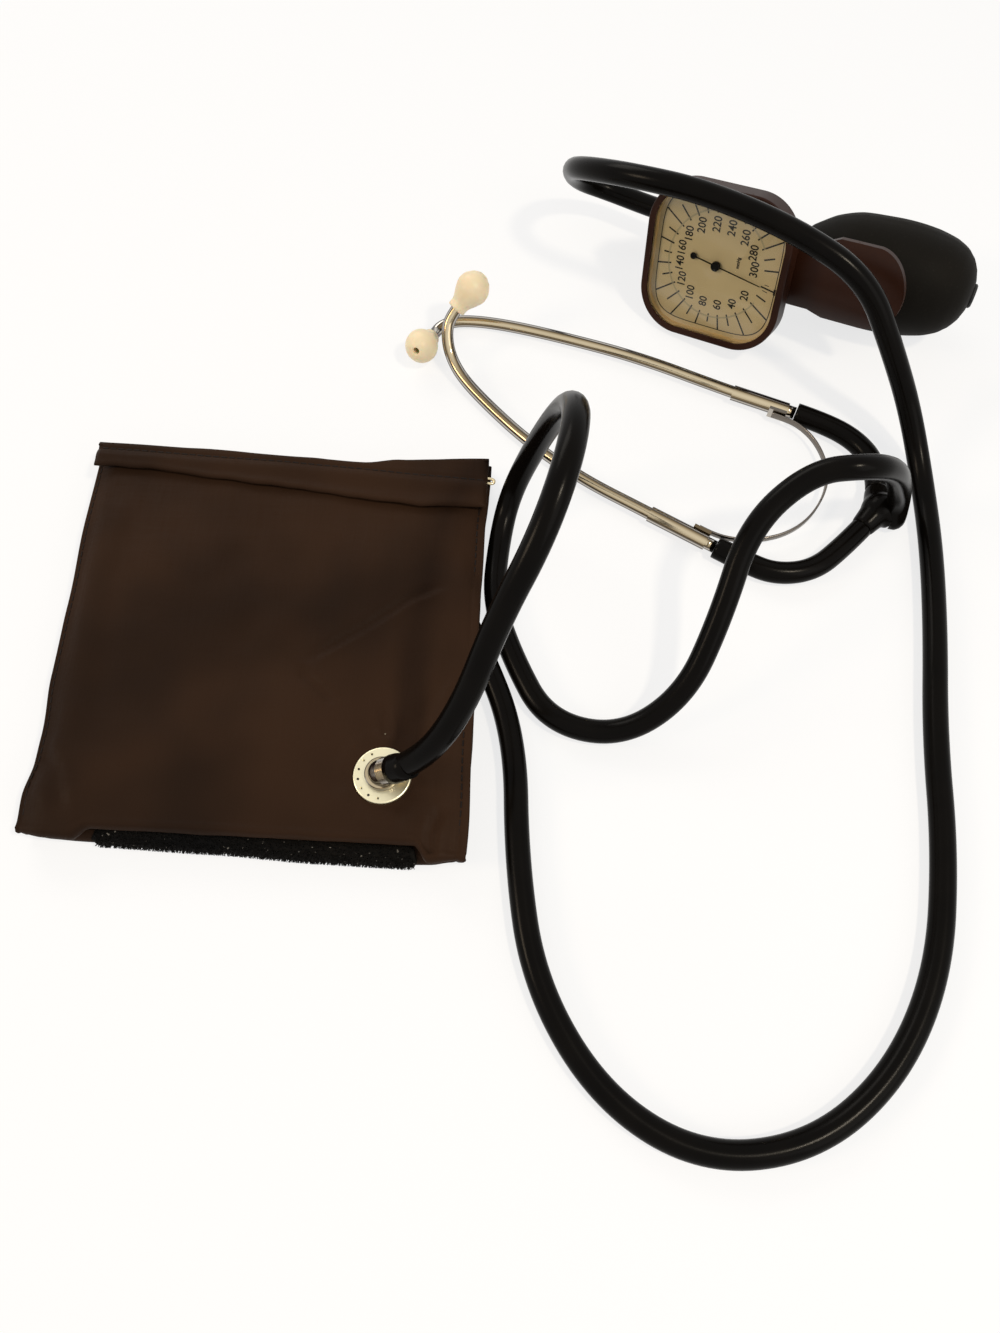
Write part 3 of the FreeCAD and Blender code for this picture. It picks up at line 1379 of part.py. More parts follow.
def main():
    export("cuff_sleeve", make_cuff_sleeve())
    export("cuff_bladder", make_bladder())
    export("bladder_nozzle", make_bladder_nozzle())
    export("hook_strip", make_hook_strip())
    export("loop_strip", make_loop_strip())
    export("bar_flap", make_bar_flap())
    export("metal_bar", make_metal_bar())
    export("chestpiece_flange", make_chestpiece_flange())
    export("chestpiece_bell", make_chestpiece_bell())
    export("chestpiece_diaphragm", make_diaphragm())
    export("diaphragm_ring", make_diaphragm_ring())
    export("clamp_nut", make_clamp_nut())
    export("hose_nipple", make_hose_nipple())

    export("stethoscope_hose", make_stethoscope_hose())
    export("pressure_hose", make_pressure_hose())
    export("branch_hose_1", make_branch_hose("branch_hose_1", branch_1_route))
    export("branch_hose_2", make_branch_hose("branch_hose_2", branch_2_route))
    export("y_connector", make_y_connector())

    outer_1, tube_1 = ear_tube(ear_tube_1_route, ear_tip_1_end, ear_tip_1_axis)
    outer_2, tube_2 = ear_tube(ear_tube_2_route, ear_tip_2_end, ear_tip_2_axis)
    export("ear_tube_1", tube_1)
    export("ear_tube_2", tube_2)
    export("ear_tip_1", ear_tip(ear_tip_1_end, ear_tip_1_axis))
    export("ear_tip_2", ear_tip(ear_tip_2_end, ear_tip_2_axis))
    export("spring_clip_1", spring_clip(clip_1_start, clip_1_end, outer_1, leaf_route[0]))
    export("spring_clip_2", spring_clip(clip_2_start, clip_2_end, outer_2, leaf_route[-1]))
    export("leaf_spring", make_leaf_spring())

    export_in_gauge("gauge_housing", make_gauge_housing())
    export_in_gauge("case_gasket", make_case_gasket())
    export_in_gauge("gauge_back_cover", make_back_cover())
    export_in_gauge("cover_screws", make_cover_screws())
    export_in_gauge("dial_plate", make_dial_plate())
    export_in_gauge("lens_gasket", make_lens_gasket())
    export_in_gauge("lens", make_lens())
    export_in_gauge("bezel_ring", make_bezel_ring())
    export_in_gauge("movement_plate", make_movement_plate())
    export_in_gauge("movement_bridge", make_movement_bridge())
    export_in_gauge("movement_pillars", make_pillars())
    export_in_gauge("movement_screws", make_movement_screws())
    export_in_gauge("pinion_arbor", make_pinion())
    export_in_gauge("sector_gear", make_sector_gear())
    export_in_gauge("rocking_shaft", make_rocking_shaft())
    export_in_gauge("hairspring", make_hairspring())
    export_in_gauge("capsule_body", make_capsule())
    export_in_gauge("capsule_pad", make_capsule_pad())
    export_in_gauge("pointer", make_pointer())
    export_in_gauge("spoon_handle", make_spoon_handle())

    export_in_gauge("air_block", make_air_block())
    export_in_gauge("hose_barb", make_hose_barb())
    export_in_gauge("bulb_nipple", make_bulb_nipple())
    export_in_gauge("check_ball", make_check_ball())
    export_in_gauge("squeeze_bulb", make_squeeze_bulb())
    export_in_gauge("end_valve_body", make_end_valve_body())
    export_in_gauge("inlet_ball", make_inlet_ball())
    export_in_gauge("valve_body", make_valve_body())
    export_in_gauge("valve_needle", make_valve_needle())
    export_in_gauge("valve_knob", make_valve_knob())


main()
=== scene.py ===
# %% [markdown]
# # A blood-pressure set with a built-in stethoscope
# The set lies on a table as its owner left it: a folded arm cuff, a hand gauge with a squeeze bulb,
# and a stethoscope whose hose ends in a head that is sewn into the cuff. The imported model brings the
# rigid pieces in their real places. This script gives every piece its real finish, and makes again
# what is soft, moulded or printed: cloth, tape, hoses, tubes, bulb and dial.

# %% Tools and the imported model
import math

import bmesh
import bpy
from mathutils import Matrix, Vector, noise


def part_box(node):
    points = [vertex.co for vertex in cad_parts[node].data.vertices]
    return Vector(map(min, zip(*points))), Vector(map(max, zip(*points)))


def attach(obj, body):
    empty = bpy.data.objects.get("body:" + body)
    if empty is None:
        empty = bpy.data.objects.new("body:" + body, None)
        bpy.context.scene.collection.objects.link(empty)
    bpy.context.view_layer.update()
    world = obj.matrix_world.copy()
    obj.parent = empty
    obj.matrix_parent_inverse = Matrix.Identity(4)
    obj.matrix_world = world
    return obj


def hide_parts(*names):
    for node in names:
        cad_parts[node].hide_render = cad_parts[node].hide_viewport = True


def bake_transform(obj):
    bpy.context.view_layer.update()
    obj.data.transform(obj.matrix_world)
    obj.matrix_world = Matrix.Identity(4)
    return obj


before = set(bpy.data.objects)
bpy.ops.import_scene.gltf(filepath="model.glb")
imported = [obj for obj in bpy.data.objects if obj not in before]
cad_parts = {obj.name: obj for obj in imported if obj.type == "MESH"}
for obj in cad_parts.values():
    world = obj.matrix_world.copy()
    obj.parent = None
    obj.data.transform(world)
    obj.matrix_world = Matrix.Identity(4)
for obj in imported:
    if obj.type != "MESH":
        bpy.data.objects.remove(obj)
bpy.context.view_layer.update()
MM = 0.001
METRES = Matrix.Scale(MM, 4)
AS_IS = Matrix.Identity(4)
Z_AXIS = Vector((0, 0, 1))
print("packed pieces:", len(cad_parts))

# %% [markdown]
# Four helpers serve the whole script. One puts data into the scene as an object, two make a plain
# mesh from a bmesh form or an evaluated object, and one adds a node to any kind of tree.


# %% Helpers
def linked(name, data):
    """A new object with this data, in the scene."""
    piece = bpy.data.objects.new(name, data)
    bpy.context.scene.collection.objects.link(piece)
    return piece


def mesh_of(form, name):
    """A mesh from a bmesh form, which is freed."""
    mesh = bpy.data.meshes.new(name)
    form.to_mesh(mesh)
    form.free()
    return mesh


def plain_mesh(piece):
    """The mesh of a curve, a text or a modified object, as it looks now."""
    bpy.context.view_layer.update()
    graph = bpy.context.evaluated_depsgraph_get()
    return bpy.data.meshes.new_from_object(piece.evaluated_get(graph))


def add_node(tree, kind, sockets=None, **settings):
    """Add a node: its settings first, then its sockets, set or linked. Gives its first output."""
    node = tree.nodes.new(kind)
    for name, value in settings.items():
        setattr(node, name, value)
    for socket, value in (sockets or {}).items():
        if isinstance(value, bpy.types.NodeSocket):
            tree.links.new(value, node.inputs[socket])
        else:
            node.inputs[socket].default_value = value
    return node.outputs[0] if node.outputs else None



# %% [markdown]
# ## Where the viewer stands
# A hand-held camera looks steeply down on the table, 67 degrees below the horizon, with a lens as
# wide as a phone's. The camera's own axes are worked out from where it is, what it looks at and
# which way its right side points, so that its small turn about the line of sight is kept.

# %% Camera
camera_eye = Vector((88.15, -138.95, 317.6)) * MM
camera_target = Vector((81.8, -4.3, 0)) * MM
camera_turn = math.radians(2.7)
camera_lens = 25.66


def make_camera():
    data = bpy.data.cameras.new("camera")
    data.sensor_fit = "VERTICAL"
    data.sensor_height = 36
    data.sensor_width = 36
    data.lens = camera_lens
    camera = linked("camera", data)
    right = Vector((math.cos(camera_turn), math.sin(camera_turn), 0))
    back = (camera_eye - camera_target).normalized()
    up = back.cross(right)
    axes = Matrix((right, up, back)).transposed().to_4x4()
    camera.matrix_world = Matrix.Translation(camera_eye) @ axes
    bpy.context.scene.camera = camera


make_camera()

# %% [markdown]
# ## Shader maths as plain arithmetic
# A material is a tree of nodes. Here a socket is wrapped in a small class, so that `1 - mask` or
# `grain * 0.3` adds its Math node by itself. `Finish` holds one material: its fixed values are set
# on the shader, and only what changes over the surface is linked.


# %% Value and Finish
class Value:
    """An output socket that can be added, multiplied and so on."""

    def __init__(self, finish, socket):
        self.finish = finish
        self.socket = socket

    def math(self, operation, first, second=0.0):
        return self.finish.node("ShaderNodeMath", {"operation": operation}, {0: first, 1: second})

    def __add__(self, other):
        return self.math("ADD", self, other)

    def __sub__(self, other):
        return self.math("SUBTRACT", self, other)

    def __rsub__(self, other):
        return self.math("SUBTRACT", other, self)

    def __mul__(self, other):
        return self.math("MULTIPLY", self, other)

    def __truediv__(self, other):
        return self.math("DIVIDE", self, other)

    __radd__ = __add__
    __rmul__ = __mul__

    def wave(self):
        return self.math("SINE", self)

    def above(self, low, high):
        """0 below low, 1 above high, and smooth between them."""
        settings = {"interpolation_type": "SMOOTHSTEP"}
        return self.finish.node("ShaderNodeMapRange", settings, {0: self, 1: low, 2: high})


class Finish:
    """One material, with helpers that add nodes to it."""

    def __init__(self, name, colour, roughness, metallic=0.0, **fixed):
        self.material = bpy.data.materials.new(name)
        self.material.use_nodes = True
        self.tree = self.material.node_tree
        self.shader = self.tree.nodes["Principled BSDF"]
        fixed.update(Base_Color=colour, Roughness=roughness, Metallic=metallic)
        for socket, value in fixed.items():
            self.feed(socket.replace("_", " "), value)
        self.place = self.node("ShaderNodeTexCoord", output="Object")

    def put(self, value, socket):
        if isinstance(value, Value):
            self.tree.links.new(value.socket, socket)
        elif isinstance(value, tuple) and len(value) == 3 and socket.type == "RGBA":
            socket.default_value = (*value, 1)
        else:
            socket.default_value = value

    def node(self, kind, settings=None, sockets=None, output=0):
        node = self.tree.nodes.new(kind)
        for name, value in (settings or {}).items():
            if name == "stops":
                set_stops(node.color_ramp, value)
            else:
                setattr(node, name, value)
        for socket, value in (sockets or {}).items():
            self.put(value, node.inputs[socket])
        return Value(self, node.outputs[output])

    def noise(self, size, detail=2.0, stretch=(1, 1, 1)):
        """Cloudy values about 0.5, whose blots are about size millimetres across."""
        scale = tuple(part / (size * MM) for part in stretch)
        place = self.node("ShaderNodeMapping", sockets={"Vector": self.place, "Scale": scale})
        sockets = {"Vector": place, "Scale": 1.0, "Detail": detail}
        return self.node("ShaderNodeTexNoise", sockets=sockets)

    def axis(self, letter):
        """The x, y or z of the place, in millimetres."""
        return self.node("ShaderNodeSeparateXYZ", sockets={0: self.place}, output=letter) / MM

    def mix(self, factor, first, second):
        settings = {"data_type": "RGBA"}
        return self.node("ShaderNodeMix", settings, {0: factor, 6: first, 7: second}, 2)

    def feed(self, socket, value):
        self.put(value, self.shader.inputs[socket])

    def bump(self, height, depth):
        """Raise the surface by height (0 to 1) times depth in millimetres."""
        sockets = {"Height": height, "Distance": depth * MM}
        self.feed("Normal", self.node("ShaderNodeBump", sockets=sockets))


def set_stops(ramp, stops):
    while len(ramp.elements) < len(stops):
        ramp.elements.new(1.0)
    for element, (place, colour) in zip(ramp.elements, stops):
        element.position = place
        element.color = (*colour, 1)


# %% [markdown]
# ## Room, floor and light
# A white floor that is lit evenly would be grey in the picture, so the floor and the world show
# themselves white to the camera and to mirror-like surfaces, while lamps of a plain level light
# the object. The floor stays partly a real surface and keeps the shadow.


# %% Floor, world and lamps
floor_half = 1.6
floor_place = -0.0002        # just under the lowest piece
floor_glow = 0.76
lamps = (         # name, place, target, size, watts and colour
    ("ceiling", (-0.5, 1.0, 0.85), (0.08, 0, 0), (0.8, 0.5), 5, (1.0, 0.94, 0.85)),
    ("window", (-0.9, -0.2, 0.7), (0.1, 0, 0), (0.3, 0.3), 4.6, (1.0, 0.80, 0.58)),
    ("bulb_lamp", (0.5, -0.2, 0.9), (0.12, 0, 0), (0.08, 0.08), 4.5, (1.0, 0.88, 0.70)),
    ("fill", (0.9, -0.6, 0.8), (0.1, 0, 0), (0.7, 0.7), 2, (1.0, 0.97, 0.93)))


def light_path(tree):
    """1 for a ray from the camera, off a mirror or through glass."""
    path = tree.nodes.new("ShaderNodeLightPath").outputs
    total = path["Is Camera Ray"]
    for name in ("Is Glossy Ray", "Is Transmission Ray"):
        total = add_node(tree, "ShaderNodeMath", {0: total, 1: path[name]}, operation="MAXIMUM")
    return total


def mix_shaders(tree, output, factor, first, second):
    """End a tree with two shaders, mixed by a factor."""
    both = add_node(tree, "ShaderNodeMixShader", {0: factor, 1: first, 2: second})
    add_node(tree, output, {0: both})


def bare_material(name):
    """A material with an empty tree."""
    material = bpy.data.materials.new(name)
    material.use_nodes = True
    material.node_tree.nodes.clear()
    return material, material.node_tree


def make_floor():
    mesh = bpy.data.meshes.new("floor")
    corners = [(-1, -1, 0), (1, -1, 0), (1, 1, 0), (-1, 1, 0)]
    mesh.from_pydata([Vector(corner) * floor_half for corner in corners], [], [(0, 1, 2, 3)])
    floor = linked("floor", mesh)
    floor.location.z = floor_place
    material, tree = bare_material("pale_floor")
    board = add_node(tree, "ShaderNodeBsdfDiffuse", {"Color": (0.93, 0.93, 0.93, 1)})
    glow = add_node(tree, "ShaderNodeEmission", {"Color": (1, 1, 1, 1)})
    share = add_node(tree, "ShaderNodeMath", {0: light_path(tree), 1: floor_glow}, operation="MULTIPLY")
    mix_shaders(tree, "ShaderNodeOutputMaterial", share, board, glow)
    mesh.materials.append(material)


def make_world():
    world = bpy.data.worlds.new("world")
    bpy.context.scene.world = world
    world.use_nodes = True
    tree = world.node_tree
    tree.nodes.clear()
    dim = add_node(tree, "ShaderNodeBackground", {"Color": (0.80, 0.82, 0.86, 1), "Strength": 0.45})
    white = add_node(tree, "ShaderNodeBackground", {"Color": (1, 1, 1, 1), "Strength": 1.0})
    mix_shaders(tree, "ShaderNodeOutputWorld", light_path(tree), dim, white)


def make_lamp(name, place, target, size, power, colour):
    data = bpy.data.lights.new(name, "AREA")
    data.shape = "RECTANGLE"
    data.size, data.size_y = size
    data.energy = power
    data.color = colour
    lamp = linked(name, data)
    lamp.location = place
    lamp.rotation_euler = (Vector(target) - Vector(place)).to_track_quat("-Z", "Y").to_euler()


make_floor()
make_world()
for lamp in lamps:
    make_lamp(*lamp)
bpy.context.scene.view_settings.view_transform = "Standard"

# %% [markdown]
# ## Rubber
# Hoses are smooth black rubber with a low gloss. Handling leaves them a little duller in places,
# which a broad noise in the roughness gives, and a very fine grain breaks up the highlights.


# %% Rubber finishes
def hose_rubber():
    finish = Finish("hose_rubber", (0.003, 0.0025, 0.002), 0.3, Specular_IOR_Level=0.05)
    cloud = finish.noise(14, 3)
    finish.feed("Roughness", 0.17 + cloud * 0.12)
    finish.feed("Base Color", finish.mix(cloud, (0.0015, 0.0012, 0.001), (0.004, 0.0032, 0.0024)))
    finish.bump(finish.noise(0.5, 2), 0.012)
    return finish.material


def bulb_rubber():
    finish = Finish("bulb_rubber", (0.006, 0.0052, 0.0042), 0.6, Specular_IOR_Level=0.05)
    cloud = finish.noise(18, 4)
    dust = finish.noise(1.1, 3).above(0.58, 0.75)
    dull = finish.mix(cloud, (0.0045, 0.004, 0.0032), (0.0085, 0.0072, 0.0055))
    finish.feed("Base Color", finish.mix(dust * 0.07, dull, (0.05, 0.045, 0.04)))
    finish.feed("Roughness", 0.5 + cloud * 0.2)
    finish.bump(finish.noise(0.45, 3), 0.03)
    return finish.material


HOSE = hose_rubber()
BULB = bulb_rubber()

# %% [markdown]
# ## Free hoses
# A hose has one smooth centre line. Its route is a list of points, straight out of the fitting
# first, then where the rubber lies or arches. The points control one NURBS spline, and a curve's
# bevel gives the hose its thickness. Order and end points are set after the points are added,
# because Blender limits both to what the spline has at that moment.

# %% Routes
hose_diameter = 8.4
rest = 4.4          # height of a lying hose's centre line


def turned_by(z, y, x=0.0):
    """A turn in degrees about x, then y, then z."""
    return (Matrix.Rotation(math.radians(z), 4, "Z") @ Matrix.Rotation(math.radians(y), 4, "Y")
            @ Matrix.Rotation(math.radians(x), 4, "X"))


# The gauge's own frame has x along its handle and z out of its dial.
GAUGE = Matrix.Translation(Vector((160.5, 159.7, 31.65)) * MM) @ turned_by(-29.2, -10.8, 71.7) @ METRES
barb_root = tuple(GAUGE @ Vector((-12, 2, -32)) / MM)
barb_run_in = tuple(GAUGE @ Vector((-30, 2, -32)) / MM)

pressure_route = [
    (60, 27.5, 7), (75.5, -1.5, 6.4), (88.5, -33, rest), (90.7, -76, rest), (97.6, -113.5, rest),
    (118.5, -145, rest), (148, -160.5, rest), (181, -156, rest), (207.5, -135.5, rest),
    (225, -104.5, rest), (232, -65.5, rest), (234, -25.5, rest), (239.5, 15.5, rest),
    (242.5, 50, rest), (242.5, 80, 5), (235, 103, 19), (221, 112.5, 41), (206.5, 125.5, 60.5),
    (181, 139, 68), (149, 155, 69.5), (122, 166, 66.5), (105.5, 183, 55), (101, 202, 39),
    (105, 215, 23), (119, 217.5, 16), (135.5, 209.2, 16.2), barb_run_in, barb_root]
nipple_foot = Vector((45.1, -51.4, 18.6))
nipple_axis = Vector((0.7067, -0.0247, 0.7071))
nipple_end = nipple_foot + nipple_axis * 5
stethoscope_route = [
    tuple(nipple_end), tuple(nipple_end + nipple_axis * 14), (71.7, -41.5, 50.5), (82.2, -21, 74.5),
    (93, -5.5, 93), (100, 15.5, 102), (102.5, 38.8, 95), (99, 56, 72), (91, 65, 38),
    (82.5, 61.5, 12), (79, 44, rest), (78, 20, rest), (86.5, -3, rest), (99, -26, rest),
    (124.5, -31, rest), (145.5, -19, 16), (155.5, 4, 31), (162.5, 29.5, 47.5), (180.5, 44, 59),
    (198, 43.5, 64), (211, 51, 52), (220.6, 58.8, 33), (228.4, 65.4, 14.5), (229.6, 61.5, 5.2)]
y_centre = Vector((223.5, 65.0, 4.9))
y_stem_length = 6.5
y_arm_length = 10.0
branch_routes = (
    [(225.5, 86.5, 4.6), (219, 98, rest), (207.5, 105.8, rest), (195.8, 110.3, rest)],
    [(209.5, 49.5, 4.5), (197.5, 38.5, rest), (183, 36, rest), (171, 41, rest), (161.1, 46.6, rest)])


def y_end(towards, length):
    """End of the arm of the Y that points at a hose."""
    return y_centre + (Vector(towards) - y_centre).normalized() * length


y_stem = y_end(stethoscope_route[-1], y_stem_length)
y_arms = [y_end(route[0], y_arm_length) for route in branch_routes]
stethoscope_route.append(tuple(y_stem))
for route, y_arm in zip(branch_routes, y_arms):
    route.insert(0, tuple(y_arm))
print("route points:", len(pressure_route), len(stethoscope_route))


# %% [markdown]
# A curve with a bevel makes a long hose directly. For a piece that needs a mesh of its own, a curve
# without a bevel is evaluated, and its points serve as the centre line.

# %% Curves from routes
def route_curve(name, route, thickness=0.0):
    """A curve object in metres, whose one open spline is controlled by a route in millimetres."""
    curve = bpy.data.curves.new(name, "CURVE")
    curve.dimensions = "3D"
    curve.resolution_u = 14
    curve.bevel_depth = thickness / 2 * MM
    curve.bevel_resolution = 7
    curve.use_fill_caps = thickness > 0
    spline = curve.splines.new("NURBS")
    spline.points.add(len(route) - 1)
    for point, place in zip(spline.points, route):
        point.co = (*(Vector(place) * MM), 1)
    spline.order_u = 3
    spline.use_endpoint_u = True
    return linked(name, curve)


def smooth_line(route):
    """Points in metres along the smooth line that a route controls."""
    guide = route_curve("guide", route)
    mesh = plain_mesh(guide)
    line = [vertex.co.copy() for vertex in mesh.vertices]
    bpy.data.meshes.remove(mesh)
    bpy.data.objects.remove(guide)
    return line


def line_length(line):
    return sum((b - a).length for a, b in zip(line, line[1:]))


# %% [markdown]
# ## The two long hoses
# One leads from the bag in the cuff, round the table and over the gauge to its barb. The other
# leads from the head, up beside the cuff, over itself and into the moulded Y.


# %% Long hoses
def long_hose(name, route, node):
    hose = route_curve(name, route, hose_diameter)
    hose.data.materials.append(HOSE)
    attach(hose, "root")
    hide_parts(node)
    print(name, round(line_length(smooth_line(route)), 4))


long_hose("pressure_hose_rubber", pressure_route, "pressure_hose")
long_hose("stethoscope_hose_rubber", stethoscope_route, "stethoscope_hose")

# %% [markdown]
# ## Mesh tubes
# Bent metal tubes, and the two short hoses that bend as the ear tubes spread, are meshes: a ring of
# points is carried along the line, turned only as much as the line turns, so the tube doesn't twist.


# %% Building meshes
def new_piece(name, points, faces, material, place=METRES, smooth=True):
    """A mesh object from points, whose place is put in its mesh."""
    mesh = bpy.data.meshes.new(name)
    mesh.from_pydata([tuple(point) for point in points], [], faces)
    mesh.transform(place)
    mesh.materials.append(material)
    mesh.polygons.foreach_set("use_smooth", [smooth] * len(mesh.polygons))
    piece = linked(name, mesh)
    outward(mesh)
    return piece


def outward(mesh):
    """Merge doubles and turn every face outwards."""
    form = bmesh.new()
    form.from_mesh(mesh)
    bmesh.ops.remove_doubles(form, verts=form.verts, dist=1e-7)
    bmesh.ops.recalc_face_normals(form, faces=form.faces)
    form.to_mesh(mesh)
    form.free()


def finished(piece, body, *replaced, slot=None):
    """Let a piece ride on a body, and stand for CAD nodes."""
    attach(piece, body)
    if replaced:
        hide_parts(*replaced)
    return piece


def spaced(start, end, count):
    """Values in count equal steps from start to end, both included."""
    return [start + (end - start) * k / count for k in range(count + 1)]


def direction_at(line, index):
    return line[min(index + 1, len(line) - 1)] - line[max(index - 1, 0)]


def rings_along(line, radius_at, sides):
    """Rings of points round a line. radius_at gives a radius for each share of the way."""
    rings = []
    side = direction_at(line, 0).normalized().cross(Vector((0.01, 0.02, 1))).normalized()
    for index, here in enumerate(line):
        ahead = direction_at(line, index).normalized()
        side = (side - ahead * side.dot(ahead)).normalized()
        other = ahead.cross(side)
        radius = radius_at(index / (len(line) - 1))
        turns = [2 * math.pi * k / sides for k in range(sides)]
        rings.append([here + (side * math.cos(t) + other * math.sin(t)) * radius for t in turns])
    return rings


def skin(rings, close_ends=True):
    """Points and faces of a skin over rings."""
    sides = len(rings[0])
    points = [point for ring in rings for point in ring]
    faces = []
    for row in range(len(rings) - 1):
        for k in range(sides):
            a = row * sides + k
            b = row * sides + (k + 1) % sides
            faces.append((a, b, b + sides, a + sides))
    if close_ends:
        faces.append(tuple(range(sides))[::-1])
        faces.append(tuple(len(points) - sides + k for k in range(sides)))
    return points, faces


def sheet(rows):
    """Points and faces of an open sheet over rows of points."""
    width = len(rows[0])
    corners = [row * width + k for row in range(len(rows) - 1) for k in range(width - 1)]
    points = [point for row in rows for point in row]
    return points, [(a, a + 1, a + width + 1, a + width) for a in corners]


def skinned(name, rings, material, place=METRES, close_ends=True):
    points, faces = skin(rings, close_ends)
    return new_piece(name, points, faces, material, place)


def tube(name, line, radius, material, sides=20):
    """A solid tube along a line that is in metres already."""
    return skinned(name, rings_along(line, lambda share: radius * MM, sides), material, AS_IS)


def along_axis(origin, axis):
    """Place whose x runs along an axis, for turned pieces, in millimetres."""
    turn = Vector(axis).to_track_quat("X", "Z").to_matrix().to_4x4()
    return METRES @ Matrix.Translation(Vector(origin)) @ turn


# %% [markdown]
# ## Short hoses to the ear tubes
# Each goes from the Y to one ear tube, as one mesh tube along its route.


# %% Branch hoses
def branch_hose(number, route):
    name = f"branch_hose_{number}_rubber"
    line = smooth_line(route)
    hose = tube(name, line, hose_diameter / 2, HOSE, 24)
    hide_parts(f"branch_hose_{number}")
    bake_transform(hose)
    print(name, round(line_length(line), 4))


for number, route in enumerate(branch_routes, 1):
    branch_hose(number, route)

# %% [markdown]
# ## Cloth and tape
# The cuff is a dense nylon with a soft sheen. Its threads are far too fine to see from here, but
# they make the highlight long and a little streaky, so two noises are stretched, one along each
# thread direction, and multiplied. A broad noise shifts the brown, as dye and handling do.


# %% Cloth finishes
def nylon(name, dark, light, lint=0.0):
    finish = Finish(name, dark, 0.55, Specular_IOR_Level=0.04, Sheen_Weight=0.012,
                    Sheen_Roughness=0.45, Sheen_Tint=(0.55, 0.38, 0.28))
    cloud = finish.noise(60, 2)
    warp = finish.noise(0.9, 2, stretch=(1, 0.06, 1))
    weft = finish.noise(0.9, 2, stretch=(0.06, 1, 1))
    threads = warp * weft
    colour = finish.mix(cloud.above(0.3, 0.7), dark, light)
    if lint:
        specks = finish.noise(1.3, 1).above(0.70, 0.76)
        colour = finish.mix(specks * lint, colour, (0.35, 0.33, 0.30))
    finish.feed("Base Color", colour)
    finish.feed("Roughness", 0.42 + threads * 0.5)
    finish.bump(threads, 0.09)
    return finish.material


def bristle_black():
    finish = Finish("bristle_black", (0.004, 0.004, 0.004), 0.6, Specular_IOR_Level=0.1)
    blacks = (0.0015, 0.0015, 0.0015), (0.006, 0.0055, 0.005)
    finish.feed("Base Color", finish.mix(finish.noise(3, 2), *blacks))
    return finish.material


def thread_brown():
    finish = Finish("thread_brown", (0.006, 0.0035, 0.0025), 0.6, Specular_IOR_Level=0.15)
    twist = (finish.axis("X") * 9 + finish.axis("Y") * 9).wave()
    finish.feed("Base Color", finish.mix(twist * 0.5 + 0.5, (0.003, 0.002, 0.0015), (0.010, 0.0055, 0.004)))
    return finish.material


CLOTH = nylon("brown_nylon", (0.0150, 0.0080, 0.0048), (0.030, 0.0150, 0.0082))
TAPE = nylon("black_tape", (0.002, 0.002, 0.002), (0.006, 0.005, 0.004), lint=0.5)
BRISTLE = bristle_black()
THREAD = thread_brown()

# %% [markdown]
# ## The folded cuff
# The sleeve is one long padded strip, folded into four layers. Its cross-section along the strip is
# a list of stations: a middle point and the direction across the cloth. At each station the strip
# is drawn from one edge to the other, thick in the middle and thin at the sewn hems. Where the
# hose leaves between the second and the third layer, the layers are pressed thinner and apart.

# %% Cuff sizes
sleeve_low, sleeve_high = (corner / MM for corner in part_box("cuff_sleeve"))
tape_low, tape_high = (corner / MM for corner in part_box("hook_strip"))
strip = 3.0
layer_pitch = 3.6
fold_radius = layer_pitch / 2
front_low = sleeve_low.y + fold_radius + strip / 2
back_fold = sleeve_high.y - fold_radius - strip / 2
front_high = front_low + 2.4
head = Vector((45.1, -51.4))
hem_left = 1.6
hem_right = 3.0
hose_in_cuff = (Vector((60, 27.5)), Vector((75.5, -1.5)))
parted_middles = (0.65, 2.0, 11.8, 13.15)
parted_half = 0.6


def middle_height(layer):
    return strip / 2 + layer * layer_pitch


def smooth_step(value, low, high):
    share = min(max((value - low) / (high - low), 0.0), 1.0)
    return share * share * (3 - 2 * share)


def to_polyline(spot, line):
    """Distance to a line of points, with its side as sign, and the share of the way along it."""
    best = (1e9, 0.0, 1)
    for index, (a, b) in enumerate(zip(line, line[1:])):
        run = b - a
        share = min(max((spot - a).dot(run) / run.length_squared, 0.0), 1.0)
        away = spot - (a + run * share)
        if away.length < best[0]:
            sign = 1 if run.x * away.y - run.y * away.x > 0 else -1
            best = (away.length, (index + share) / (len(line) - 1), sign)
    return best[0] * best[2], best[1]


def parting(x, y):
    """1 where the hose parts the layers, 0 away from it."""
    distance, _ = to_polyline(Vector((x, y)), hose_in_cuff)
    return 1 - smooth_step(abs(distance), 4.2, 11.0)


def along(line, place):
    """The second value of a line of pairs, at a place between its first values."""
    for (a, first), (b, second) in zip(line, line[1:]):
        if place <= b:
            return first + (second - first) * smooth_step(place, a, b)
    return line[-1][1]


left_inset = ((-75, 1.6), (-68, 2.6), (-60, 2.2), (-50, 3.6), (-42, 3.4), (-20, 1.9), (7, 1.3), (45, 0.0),
              (77, 0.0))
right_outset = ((-75, 1.6), (0, 1.4), (45, 1.3), (77, 2.4))
front_bulge = ((-77, 0.0), (-50, 0.6), (-10, 1.4), (25, 2.8), (52, 3.2), (74, 2.5))
back_edge = ((-77, 76.0), (-36, 74.9), (2, 72.8), (27, 71.4), (40, 73.4), (74, 75.4))


# %% [markdown]
# The top cloth is never flat. It swells over the bag, dips beside the head, and has a few long
# creases from being folded and sat on. Each crease is a short line with a valley on one side and a
# low ridge on the other, fading out at both ends.

